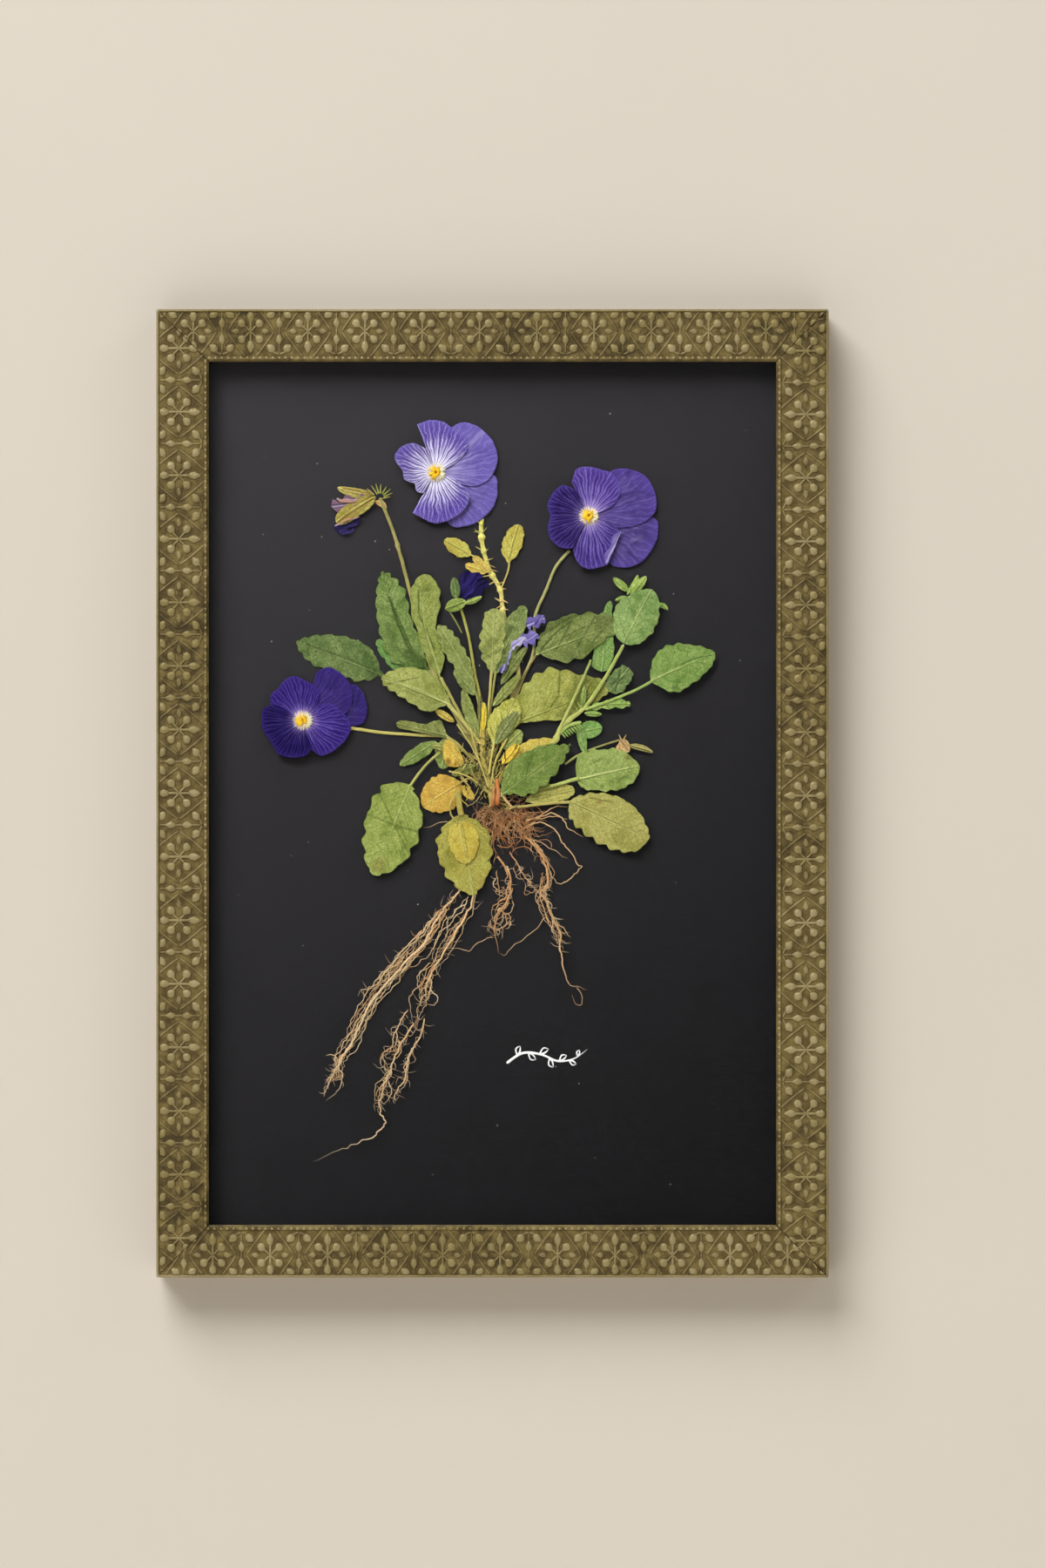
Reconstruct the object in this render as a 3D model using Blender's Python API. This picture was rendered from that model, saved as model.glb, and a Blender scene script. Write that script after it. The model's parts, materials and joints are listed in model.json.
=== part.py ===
"""A pressed pansy plant on black card, in a glazed picture frame with an embossed moulding.

The origin is the nail that the sawtooth hanger hangs on, in the plane of the wall. The frame faces -Y, +X is
its right and +Z is up. Lengths below are millimetres and become metres where a mesh is made. Places on the
card are (x, z) from the middle of the frame.
"""

import math

import bmesh
import bpy

MM = 0.001

# the moulding
SIGHT_WIDTH = 244.0
SIGHT_HEIGHT = 371.0
RAIL_FACE = 22.4
RAIL_LIP = 5.0
FRAME_DEPTH = 20.0
FIELD_SINK = 0.6
RIM_WIDTH = 1.2
BEAD_WIDTH = 2.2
BACK_FACE = 1.2
MITRE_GAP = 0.2
OUTER_WIDTH = SIGHT_WIDTH + 2 * RAIL_FACE
OUTER_HEIGHT = SIGHT_HEIGHT + 2 * RAIL_FACE
NAIL_BELOW_TOP = 9.0
MIDDLE_Z = NAIL_BELOW_TOP - OUTER_HEIGHT / 2

# what lies in the rabbet, as distances in front of the wall
GAP = 0.3
FIT_GAP = 0.4
BOARD_BACK = 5.7
BOARD_THICK = 3.0
CARD_BACK = BOARD_BACK + BOARD_THICK + GAP
CARD_THICK = 1.5
CARD_FRONT = CARD_BACK + CARD_THICK
GLASS_BACK = 14.6
GLASS_THICK = 2.0
LIP_BACK = GLASS_BACK + GLASS_THICK + GAP
SPACER_WIDTH = 3.0
POINT_THICK = 0.5
POINT_LENGTH = 9.0
POINT_WIDTH = 11.0

# the hanger
HANGER_WIDTH = 44.0
HANGER_TOP = 7.0
HANGER_THICK = BACK_FACE - GAP
HANGER_END = 6.0
TOOTH_DEPTH = 1.8
TOOTH_COUNT = 11

# the plant: every piece is a pressed plate in one of a few layers
PLATE_THICK = 0.2
LAYER_PITCH = 0.5
STATIONS = 6
SIDE_STEPS = 18
TEETH_FROM = 0.12
TEETH_TO = 0.97
RIM_PARTS = 2
ROUTE_STEP = 4.0


def material(name, colour, roughness, metallic=0.0, alpha=1.0):
    made = bpy.data.materials.new(name)
    made.use_nodes = True
    shader = made.node_tree.nodes["Principled BSDF"]
    shader.inputs["Base Color"].default_value = (*colour, 1.0)
    shader.inputs["Roughness"].default_value = roughness
    shader.inputs["Metallic"].default_value = metallic
    shader.inputs["Alpha"].default_value = alpha
    return made


def add_object(name, bm, finish):
    bmesh.ops.recalc_face_normals(bm, faces=bm.faces)
    if bm.calc_volume(signed=True) < 0:
        bmesh.ops.reverse_faces(bm, faces=bm.faces)
    mesh = bpy.data.meshes.new(name)
    bm.to_mesh(mesh)
    bm.free()
    mesh.materials.append(finish)
    made = bpy.data.objects.new(name, mesh)
    bpy.context.scene.collection.objects.link(made)
    return made


def plate(name, outline, back, thick, finish):
    """A flat piece with this outline on the card, from back to back + thick in front of the wall."""
    bm = bmesh.new()
    corners = [bm.verts.new((x * MM, -back * MM, (MIDDLE_Z + z) * MM)) for x, z in outline]
    face = bm.faces.new(corners)
    front = bmesh.ops.extrude_face_region(bm, geom=[face])
    moved = [item for item in front["geom"] if isinstance(item, bmesh.types.BMVert)]
    bmesh.ops.translate(bm, verts=moved, vec=(0, -thick * MM, 0))
    bmesh.ops.triangulate(bm, faces=[f for f in bm.faces if len(f.verts) > 4])
    return add_object(name, bm, finish)


def pressed(name, outline, layer, finish):
    """A plate of the plant. Layer 0 lies next to the card."""
    back = CARD_FRONT + GAP + layer * LAYER_PITCH
    return plate(name, outline, back, PLATE_THICK, finish)


def rectangle(width, height):
    x, z = width / 2, height / 2
    return [(-x, -z), (x, -z), (x, z), (-x, z)]


def rail_profile():
    """The moulding's section as (distance in from the outer edge, distance in front of the wall)."""
    field = FRAME_DEPTH - FIELD_SINK
    bead = RAIL_FACE - BEAD_WIDTH
    seat = RAIL_FACE - RAIL_LIP
    return [
        (0, BACK_FACE),
        (0, FRAME_DEPTH - 0.4),
        (0.4, FRAME_DEPTH),
        (0.8, FRAME_DEPTH),
        (RIM_WIDTH, field),
        (bead, field),
        (bead + 0.3, FRAME_DEPTH - 0.2),
        (RAIL_FACE - 0.9, FRAME_DEPTH - 0.2),
        (RAIL_FACE, FRAME_DEPTH - 1.0),
        (RAIL_FACE, LIP_BACK),
        (seat, LIP_BACK),
        (seat, BACK_FACE),
    ]


def rail(name, length, turns, reach, finish):
    """A mitred rail, made as the top one and turned about the middle of the frame by quarter turns."""
    bm = bmesh.new()
    half = length / 2 - MITRE_GAP
    profile = rail_profile()
    ends = [bm.verts.new((-(half - inward), -front, reach - inward)) for inward, front in profile]
    extruded = bmesh.ops.extrude_face_region(bm, geom=[bm.faces.new(ends)])
    for vert in [item for item in extruded["geom"] if isinstance(item, bmesh.types.BMVert)]:
        vert.co.x = -vert.co.x
    cosine, sine = [(1, 0), (0, 1), (-1, 0), (0, -1)][turns]
    for vert in bm.verts:
        x, z = vert.co.x, vert.co.z
        vert.co.x = (x * cosine - z * sine) * MM
        vert.co.y *= MM
        vert.co.z = (x * sine + z * cosine + MIDDLE_Z) * MM
    return add_object(name, bm, finish)


def ring(name, width, height, band, back, thick, finish):
    """A flat rectangular ring, made by insetting a rectangle and taking its middle out."""
    bm = bmesh.new()
    corners = [(x * MM, -back * MM, (MIDDLE_Z + z) * MM) for x, z in rectangle(width, height)]
    face = bm.faces.new([bm.verts.new(corner) for corner in corners])
    bm.normal_update()
    bmesh.ops.inset_region(bm, faces=[face], thickness=band * MM, use_boundary=True, use_even_offset=True)
    bmesh.ops.delete(bm, geom=[face], context="FACES_ONLY")
    front = bmesh.ops.extrude_face_region(bm, geom=bm.faces[:])
    moved = [item for item in front["geom"] if isinstance(item, bmesh.types.BMVert)]
    bmesh.ops.translate(bm, verts=moved, vec=(0, -thick * MM, 0))
    return add_object(name, bm, finish)


def hanger_outline():
    """A strip whose lower edge is a row of teeth. The top of its middle notch is on the nail."""
    z = -MIDDLE_Z
    half = HANGER_WIDTH / 2
    tooth = (HANGER_WIDTH - 2 * HANGER_END) / TOOTH_COUNT
    lower = [(-half, z)]
    for i in range(TOOTH_COUNT):
        left = (i - TOOTH_COUNT / 2) * tooth
        lower.append((left + 0.1, z - TOOTH_DEPTH))
        lower.append((left + tooth / 2, z))
        lower.append((left + tooth - 0.1, z - TOOTH_DEPTH))
    lower.append((half, z))
    return lower + [(half, z + HANGER_TOP), (-half, z + HANGER_TOP)]


def point_outline(x, z, across, along):
    """A framer's point whose flat end is at (x, z) and which reaches across the board."""
    length, half = POINT_LENGTH, POINT_WIDTH / 2
    local = [(0, -half), (length * 0.55, -half), (length, 0), (length * 0.55, half), (0, half)]
    return [(x + a * across[0] + b * along[0], z + a * across[1] + b * along[1]) for a, b in local]


def smooth_value(values, place):
    """A smooth curve through evenly spaced values, read at place, counted in values."""
    index = min(int(place), len(values) - 2)
    share = place - index
    near = [values[max(0, min(len(values) - 1, index + k))] for k in (-1, 0, 1, 2)]
    a = 2 * near[1]
    b = near[2] - near[0]
    c = 2 * near[0] - 5 * near[1] + 4 * near[2] - near[3]
    d = 3 * near[1] - near[0] - 3 * near[2] + near[3]
    return max(0.0, 0.5 * (a + b * share + c * share**2 + d * share**3))


def blade_outline(base, tip, left, right, bend=0.0, teeth=0, tooth=0.0):
    """A leaf. Its half widths left and right of the midrib, going from base to tip, are given at five places
    that crowd towards the ends, so that both ends come out round. Teeth are rounded lobes."""
    dx, dz = tip[0] - base[0], tip[1] - base[1]
    length = math.hypot(dx, dz)
    along = (dx / length, dz / length)
    side = (-along[1], along[0])
    edges = []
    for sign, widths in ((1, left), (-1, right)):
        values = (0.0, *widths, 0.0)
        edge = []
        for step in range(SIDE_STEPS + 1):
            s = step / SIDE_STEPS
            t = 0.5 - 0.5 * math.cos(math.pi * s)
            toothed = teeth and TEETH_FROM < s < TEETH_TO
            cut = tooth * (1 - abs(math.sin(math.pi * teeth * s))) if toothed else 0.0
            width = max(0.0, smooth_value(values, s * STATIONS) - cut)
            across = sign * width + bend * 4 * t * (1 - t)
            x = base[0] + along[0] * length * t + side[0] * across
            z = base[1] + along[1] * length * t + side[1] * across
            edge.append((x, z))
        edges.append(edge)
    return edges[0] + edges[1][-2:0:-1]


def fan_outline(hub, start, end, radii):
    """A petal as a fan about its flower's hub, from angle start to end in degrees, whose rim runs smoothly
    through radii at equal angles."""
    rim = [hub]
    parts = (len(radii) - 1) * RIM_PARTS
    for step in range(parts + 1):
        angle = math.radians(start + (end - start) * step / parts)
        radius = smooth_value(radii, step / RIM_PARTS)
        rim.append((hub[0] + radius * math.cos(angle), hub[1] + radius * math.sin(angle)))
    return rim


def route_points(points, step=ROUTE_STEP):
    """Points about a step apart along a smooth curve through the route's own points."""
    xs, zs = [p[0] for p in points], [p[1] for p in points]
    made = []
    for i in range(len(points) - 1):
        span = math.hypot(xs[i + 1] - xs[i], zs[i + 1] - zs[i])
        parts = max(1, round(span / step))
        for k in range(parts):
            made.append((route_value(xs, i + k / parts), route_value(zs, i + k / parts)))
    made.append(points[-1])
    return made


def route_value(values, place):
    """As smooth_value, for places on the card, which may be negative."""
    low = min(values)
    return smooth_value([v - low + 100 for v in values], place) + low - 100


def strip_outline(points, start_width, end_width):
    """A stalk or root as a strip that follows its route and tapers from start_width to end_width."""
    middle = route_points(points)
    left, right = [], []
    for i, (x, z) in enumerate(middle):
        before, after = middle[max(0, i - 1)], middle[min(len(middle) - 1, i + 1)]
        dx, dz = after[0] - before[0], after[1] - before[1]
        length = math.hypot(dx, dz)
        half = 0.5 * (start_width + (end_width - start_width) * i / (len(middle) - 1))
        left.append((x - dz / length * half, z + dx / length * half))
        right.append((x + dz / length * half, z - dx / length * half))
    return left + right[::-1]


# large leaves: layer, material, base, tip, half widths left and right of the midrib, bend, teeth, tooth depth
LEAVES = {
    "leaf_left_low": (0, "leaf_green", (-45.5, 50.0), (-84.5, 65.3), (1.0, 6.4, 7.0, 7.0, 3.8),
                      (1.5, 9.0, 10.4, 7.8, 3.4), 0.0, 7, 0.8),
    "leaf_left_tall": (1, "leaf_green", (-26.9, 52.0), (-47.7, 95.5), (4.0, 10.8, 9.4, 6.6, 3.0),
                       (2.0, 5.0, 6.4, 8.2, 4.2), 3.3, 8, 1.0),
    "leaf_left_spoon": (3, "leaf_olive", (-21.7, 48.3), (-29.8, 94.4), (1.2, 2.4, 3.4, 5.2, 4.2),
                        (1.2, 6.2, 5.7, 8.7, 5.6), 3.9, 6, 0.7),
    "leaf_left_broad": (4, "leaf_olive", (-18.3, 38.0), (-47.8, 50.2), (1.5, 6.8, 6.0, 4.6, 3.2),
                        (3.4, 8.0, 9.9, 8.1, 3.6), 0.0, 6, 0.6),
    "leaf_centre_left": (4, "leaf_olive", (-7.5, 46.8), (-23.4, 72.4), (1.0, 3.3, 4.4, 4.2, 2.6),
                         (1.0, 3.4, 4.4, 4.2, 2.6), 0.0, 6, 0.5),
    "leaf_centre_torn": (3, "leaf_olive", (-0.3, 51.4), (0.9, 79.6), (1.6, 5.0, 6.2, 5.2, 4.2),
                         (1.4, 4.0, 5.2, 5.2, 4.4), 0.0, 6, 0.6),
    "leaf_centre_low": (5, "leaf_olive", (0.0, 21.3), (9.8, 40.8), (2.0, 5.6, 6.6, 5.0, 2.6),
                        (1.2, 4.0, 6.0, 5.6, 3.0), 0.0, 6, 0.5),
    "leaf_right_folded": (3, "leaf_green", (18.6, 59.5), (54.8, 73.6), (5.0, 10.8, 11.3, 8.6, 4.8),
                          (1.5, 7.4, 8.7, 5.5, 3.6), 0.0, 7, 0.7),
    "leaf_right_round": (5, "leaf_green", (56.3, 64.6), (68.6, 87.7), (5.3, 8.4, 10.6, 7.9, 3.8),
                         (5.0, 8.2, 9.2, 7.5, 4.3), 0.0, 6, 0.6),
    "leaf_far_right": (5, "leaf_green", (68.3, 48.4), (95.7, 60.4), (5.2, 10.4, 10.9, 7.3, 3.2),
                       (3.6, 9.0, 8.6, 6.6, 3.6), 0.0, 6, 0.5),
    "leaf_right_big": (2, "leaf_olive", (11.0, 30.6), (50.8, 46.4), (9.5, 15.2, 16.6, 9.8, 4.4),
                       (1.5, 3.7, 7.1, 5.0, 3.0), 0.0, 9, 0.6),
    "leaf_low_dark": (6, "leaf_green", (4.3, -0.6), (33.6, 21.2), (4.4, 9.3, 9.4, 6.8, 2.0),
                      (1.9, 7.5, 8.0, 5.6, 2.2), 0.0, 8, 0.8),
    "leaf_low_light": (3, "leaf_green", (36.3, 5.8), (63.3, 11.8), (9.0, 11.4, 10.6, 9.0, 4.0),
                       (4.5, 6.4, 8.2, 7.7, 4.4), 0.0, 6, 0.6),
    "leaf_low_tan": (4, "leaf_olive", (33.5, -3.4), (67.6, -19.2), (4.1, 8.7, 10.8, 8.9, 3.8),
                     (6.7, 9.9, 11.6, 11.1, 7.6), 0.0, 9, 0.8),
    "leaf_bottom_left": (3, "leaf_green", (-35.3, 3.6), (-51.2, -35.3), (4.0, 10.3, 12.1, 10.4, 5.2),
                         (9.5, 13.0, 12.8, 9.6, 4.8), 0.0, 7, 1.3),
    "leaf_bottom_orange": (1, "leaf_yellow", (-13.6, 4.6), (-30.2, -5.6), (3.0, 7.4, 8.0, 6.4, 3.2),
                           (3.0, 7.4, 8.4, 7.0, 3.8), 0.0, 7, 0.5),
    "leaf_bottom_broad": (3, "leaf_olive", (-13.2, -9.0), (-8.0, -44.0), (4.6, 10.4, 10.7, 8.3, 3.4),
                          (7.0, 12.4, 13.0, 10.3, 5.0), 0.0, 7, 0.9),
    "leaf_bottom_yellow": (4, "leaf_yellow", (-14.4, -12.0), (-11.2, -30.4), (4.5, 6.9, 7.2, 5.7, 2.9),
                           (3.7, 5.8, 6.2, 5.0, 2.9), 0.0, 6, 0.5),
}

# flowers: hub, material, then each petal's name, layer, first and last angle, and rim radii between them
FLOWERS = {
    "flower_top": ((-24.5, 138.1), "petal_lilac", (
        ("back_lower", 1, -86, 10, (14.0, 23.6, 26.3, 27.9, 28.7, 28.8, 27.5, 25.0, 14.0)),
        ("back_upper", 2, -30, 80, (10.0, 19.4, 24.5, 27.2, 28.1, 27.5, 26.3, 23.0, 14.0)),
        ("side_upper", 3, 24, 111, (8.5, 17.2, 19.4, 20.2, 21.0, 22.5, 22.6, 22.3)),
        ("side_lower", 4, 240, 343, (20.0, 20.7, 21.9, 21.5, 20.8, 19.6, 16.6, 8.0)),
        ("lip", 5, 112, 240, (11.0, 16.1, 18.4, 18.8, 14.4, 13.7, 10.4, 11.5, 10.5)),
    )),
    "flower_right": ((41.5, 119.5), "petal_violet", (
        ("back_lower", 1, -74, 8, (15.0, 24.0, 27.7, 30.0, 30.7, 31.1, 30.7, 28.5, 16.0)),
        ("back_upper", 2, -22, 76, (14.0, 22.0, 28.4, 30.0, 30.3, 29.0, 26.0, 21.4, 12.0)),
        ("side_upper", 3, 17, 117, (8.0, 14.3, 18.3, 20.2, 20.8, 20.6, 21.1, 20.8, 16.5)),
        ("side_lower", 4, 243, 338, (15.5, 20.2, 22.8, 22.7, 22.4, 18.8, 16.5, 15.4, 13.0)),
        ("lip", 5, 118, 244, (13.0, 17.3, 18.1, 18.5, 18.2, 16.6, 18.2, 19.2, 19.1, 18.1, 15.5)),
    )),
    "flower_left": ((-81.8, 31.4), "petal_indigo", (
        ("back_right", 1, -10, 42, (18.0, 25.6, 27.3, 28.2, 28.6, 28.7, 28.2, 26.9, 23.0)),
        ("back_upper", 2, 5, 74, (17.0, 21.0, 23.3, 24.8, 25.8, 26.2, 26.0, 25.3, 21.5)),
        ("side_upper", 3, 46, 156, (9.5, 14.3, 16.0, 17.2, 19.4, 18.8, 17.4, 17.4, 15.0)),
        ("side_right", 4, 284, 405, (12.0, 17.1, 18.4, 19.4, 20.5, 21.0, 18.9, 16.4, 13.6, 10.0)),
        ("lip", 5, 150, 288, (14.0, 17.5, 17.6, 17.7, 16.8, 16.9, 17.8, 17.3, 16.2, 15.3, 13.0)),
    )),
}

# stalks: layer, start width, end width, route
STALKS = {
    "crown_stem": (4, 2.0, 3.0, ((-4.1, 39.3), (-4.3, 27.0), (-4.0, 15.0), (-1.6, 4.0), (0.2, -5.5))),
    "stalk_top_flower": (0, 1.7, 1.7, (
        (-4.6, 118.5), (-4.9, 112.6), (-3.9, 104.4), (-1.0, 95.4), (3.3, 87.5), (4.4, 79.0), (7.6, 66.0),
        (10.9, 54.3), (9.6, 44.9), (4.0, 30.0), (-1.6, 16.0))),
    "stalk_right_flower": (1, 1.2, 1.2, (
        (33.3, 104.8), (27.3, 97.7), (22.5, 86.4), (18.3, 76.3), (18.0, 66.0), (17.0, 58.5), (12.9, 49.0),
        (7.6, 36.0), (2.6, 22.0), (-1.0, 12.0))),
    "stalk_left_flower": (0, 1.4, 1.2, (
        (-61.5, 28.2), (-53.5, 26.9), (-46.8, 26.0), (-31.8, 25.0), (-18.7, 23.6), (-9.4, 15.0),
        (-4.6, 8.0))),
    "stalk_wilted_flower": (2, 1.4, 1.9, (
        (-48.6, 127.4), (-42.6, 112.0), (-39.4, 101.2), (-35.6, 87.0), (-29.6, 66.0), (-25.4, 52.0),
        (-15.0, 32.0), (-6.0, 18.0))),
    "stalk_bud": (2, 1.2, 1.4, ((-14.0, 80.5), (-10.4, 67.8), (-7.8, 52.4), (-5.2, 39.3), (-4.6, 24.0))),
    "branch_right": (4, 2.4, 1.4, (
        (4.5, 8.0), (17.0, 14.5), (26.3, 21.6), (30.0, 29.0), (39.7, 37.0), (48.7, 50.0), (56.6, 64.2))),
}

# root bundles: layer, start width, end width, route
ROOTS = {
    "root_left_outer": (1, 5.0, 2.4, (
        (-3.0, -25.0), (-13.9, -41.9), (-24.0, -54.9), (-35.8, -71.1), (-50.4, -87.3), (-60.4, -107.0),
        (-66.0, -118.0), (-72.5, -131.0))),
    "root_left_inner": (2, 5.0, 1.2, (
        (-3.0, -27.0), (-8.2, -45.1), (-19.2, -65.4), (-28.5, -85.3), (-34.0, -101.0), (-42.5, -115.0),
        (-47.5, -131.0), (-48.0, -143.0), (-62.0, -152.2), (-77.6, -158.7))),
    "root_centre": (1, 5.0, 2.0, ((4.0, -22.0), (7.4, -36.0), (5.0, -47.0), (1.6, -58.0), (2.4, -69.4))),
    "root_right": (2, 5.0, 1.6, (
        (12.0, -17.0), (21.0, -29.0), (22.8, -41.0), (25.4, -53.0), (29.4, -66.0), (32.4, -81.0),
        (40.3, -85.6))),
}

# round outlines
ROOT_MASS = ((1.5, -4.2), (-6.5, -13.0), (3.0, -26.5), (10.5, -26.0), (18.5, -14.0), (9.0, -8.5))
WILTED_FLOWER = ((-49.0, 131.0), (-53.0, 135.5), (-66.5, 132.0), (-68.5, 122.0), (-68.0, 112.5),
                 (-59.0, 112.0), (-50.0, 123.5))
BUD = ((-15.5, 84.5), (-13.8, 92.6), (-10.0, 96.0), (-2.2, 91.6), (-6.4, 85.0), (-10.5, 83.6))


def closed_curve(points, parts=4):
    """A smooth closed outline through a few points."""
    count = len(points)
    made = []
    for i in range(count):
        near = [points[(i + k) % count] for k in (-1, 0, 1, 2)]
        for k in range(parts):
            share = k / parts
            made.append(tuple(route_value([p[axis] for p in near], 1 + share) for axis in (0, 1)))
    return made


def make_frame(finish):
    rail("rail_top", OUTER_WIDTH, 0, OUTER_HEIGHT / 2, finish["moulding"])
    rail("rail_left", OUTER_HEIGHT, 1, OUTER_WIDTH / 2, finish["moulding"])
    rail("rail_bottom", OUTER_WIDTH, 2, OUTER_HEIGHT / 2, finish["moulding"])
    rail("rail_right", OUTER_HEIGHT, 3, OUTER_WIDTH / 2, finish["moulding"])
    width = SIGHT_WIDTH + 2 * (RAIL_LIP - FIT_GAP)
    height = SIGHT_HEIGHT + 2 * (RAIL_LIP - FIT_GAP)
    sheet = rectangle(width, height)
    plate("glass_pane", sheet, GLASS_BACK, GLASS_THICK, finish["glass"])
    spacer_back = CARD_FRONT + GAP
    ring("spacer", width, height, SPACER_WIDTH, spacer_back, GLASS_BACK - GAP - spacer_back, finish["spacer"])
    plate("mount_card", sheet, CARD_BACK, CARD_THICK, finish["card"])
    plate("backing_board", sheet, BOARD_BACK, BOARD_THICK, finish["board"])
    point_back = BOARD_BACK - GAP - POINT_THICK
    places = {
        "point_left": (-width / 2, 0, (1, 0), (0, 1)),
        "point_right": (width / 2, 0, (-1, 0), (0, 1)),
        "point_top": (0, height / 2, (0, -1), (1, 0)),
        "point_bottom": (0, -height / 2, (0, 1), (1, 0)),
    }
    for name, place in places.items():
        plate(name, point_outline(*place), point_back, POINT_THICK, finish["steel"])
    plate("sawtooth_hanger", hanger_outline(), 0, HANGER_THICK, finish["steel"])


def make_plant(finish):
    for name, (layer, kind, *blade) in LEAVES.items():
        pressed(name, blade_outline(*blade), layer, finish[kind])
    for flower, (hub, kind, petals) in FLOWERS.items():
        for name, layer, *form in petals:
            pressed(f"{flower}_petal_{name}", fan_outline(hub, *form), layer, finish[kind])
    for strips, kind in ((STALKS, "stem"), (ROOTS, "root")):
        for name, (layer, start, end, route) in strips.items():
            pressed(name, strip_outline(route, start, end), layer, finish[kind])
    pressed("root_mass", closed_curve(ROOT_MASS), 0, finish["root"])
    pressed("wilted_flower", closed_curve(WILTED_FLOWER), 1, finish["dry_petal"])
    pressed("bud", closed_curve(BUD), 3, finish["petal_indigo"])


def main():
    for old in list(bpy.data.objects):
        bpy.data.objects.remove(old)
    finish = {
        "moulding": material("moulding", (0.20, 0.15, 0.06), 0.45, 0.3),
        "glass": material("glass", (0.95, 0.97, 0.96), 0.05, alpha=0.2),
        "spacer": material("spacer", (0.03, 0.03, 0.03), 0.7),
        "card": material("card", (0.03, 0.03, 0.032), 0.85),
        "board": material("board", (0.40, 0.29, 0.18), 0.9),
        "steel": material("steel", (0.60, 0.60, 0.58), 0.35, 1.0),
        "petal_lilac": material("petal_lilac", (0.17, 0.13, 0.50), 0.7),
        "petal_violet": material("petal_violet", (0.10, 0.05, 0.32), 0.7),
        "petal_indigo": material("petal_indigo", (0.05, 0.02, 0.20), 0.7),
        "dry_petal": material("dry_petal", (0.30, 0.24, 0.10), 0.8),
        "leaf_green": material("leaf_green", (0.15, 0.25, 0.08), 0.7),
        "leaf_olive": material("leaf_olive", (0.32, 0.36, 0.12), 0.7),
        "leaf_yellow": material("leaf_yellow", (0.60, 0.45, 0.08), 0.7),
        "stem": material("stem", (0.50, 0.45, 0.15), 0.7),
        "root": material("root", (0.50, 0.30, 0.13), 0.85),
    }
    make_frame(finish)
    make_plant(finish)


main()
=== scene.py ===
"""The looks of a pressed pansy plant on black card in a glazed frame with an embossed moulding.

Places on the card are (u, v) in millimetres from its middle, u to the right and v up. A lift is how far a
point stands in front of the card, in millimetres too.
"""

import json
import math
import random

import bmesh
import bpy
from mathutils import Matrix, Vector, noise


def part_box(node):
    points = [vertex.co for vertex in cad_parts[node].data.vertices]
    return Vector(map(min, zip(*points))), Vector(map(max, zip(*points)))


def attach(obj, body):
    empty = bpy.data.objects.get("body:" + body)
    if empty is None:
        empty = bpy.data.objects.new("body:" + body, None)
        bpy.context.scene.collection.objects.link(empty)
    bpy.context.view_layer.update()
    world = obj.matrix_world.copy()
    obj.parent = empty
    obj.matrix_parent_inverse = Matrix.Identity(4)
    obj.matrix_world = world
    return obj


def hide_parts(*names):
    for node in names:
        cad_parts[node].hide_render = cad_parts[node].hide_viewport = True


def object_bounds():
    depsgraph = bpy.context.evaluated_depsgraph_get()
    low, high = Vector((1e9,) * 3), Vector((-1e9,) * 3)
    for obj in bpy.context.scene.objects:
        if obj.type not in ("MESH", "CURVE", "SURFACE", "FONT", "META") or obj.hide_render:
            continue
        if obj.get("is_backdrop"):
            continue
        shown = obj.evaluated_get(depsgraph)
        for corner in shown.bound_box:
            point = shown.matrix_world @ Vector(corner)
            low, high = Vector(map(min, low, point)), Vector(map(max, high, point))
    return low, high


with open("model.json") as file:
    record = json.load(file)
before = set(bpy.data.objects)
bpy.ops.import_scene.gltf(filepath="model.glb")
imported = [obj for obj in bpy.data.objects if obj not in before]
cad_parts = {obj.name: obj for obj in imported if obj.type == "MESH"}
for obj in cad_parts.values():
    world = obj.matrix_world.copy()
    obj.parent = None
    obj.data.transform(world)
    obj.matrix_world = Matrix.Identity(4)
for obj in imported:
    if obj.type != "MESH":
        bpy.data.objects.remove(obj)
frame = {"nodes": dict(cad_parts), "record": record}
cad_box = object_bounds()
MM = 0.001

card_low, card_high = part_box("mount_card")
rail_low, rail_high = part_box("rail_top")
base_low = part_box("rail_bottom")[0]
glass_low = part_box("glass_pane")[0]

MIDDLE_X = (card_low.x + card_high.x) / 2
MIDDLE_Z = (card_low.z + card_high.z) / 2
CARD_FRONT = card_low.y
FRAME_FRONT = rail_low.y
OUTER_WIDTH = (rail_high.x - rail_low.x) / MM
OUTER_HEIGHT = (rail_high.z - base_low.z) / MM
RAIL_FACE = (rail_high.z - rail_low.z) / MM
LIP = 5.0
RAIL_SEAT = RAIL_FACE - LIP
BEADING = 2.4
FIELD_BACK = 0.6
MOTIF_PITCH = 24.6
MOTIF_LINE = 9.5
JOIN = 0.004 * MM

# in metres: the wall behind the frame, how far the floor is below it, and how far off the camera stands
WALL_GAP = 0.0008
FLOOR_DROP = 0.75
CAMERA_BACK = 2.525

# side veins of a leaf: spacing along it in millimetres, slant, and how much they bow
VEIN_SPACING, VEIN_SLANT, VEIN_BOW = 4.2, 0.95, 0.02

GREEN, OLIVE, YELLOWED = "leaf_green", "leaf_olive", "leaf_yellow"
LILAC, VIOLET, INDIGO, WITHERED = "petal_lilac", "petal_violet", "petal_indigo", "dry_petal"
DARK, PALE, BROWN = range(3)


# ---------------------------------------------------------------- places and curves


def place(u, v, lift):
    return Vector((MIDDLE_X + u * MM, CARD_FRONT - lift * MM, MIDDLE_Z + v * MM))


def around(hub, reach, turn):
    """The place at this reach and turn, in radians, about a hub."""
    return hub[0] + reach * math.cos(turn), hub[1] + reach * math.sin(turn)


def lift_of(node):
    low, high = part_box(node)
    return (CARD_FRONT - (low.y + high.y) / 2) / MM


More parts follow.
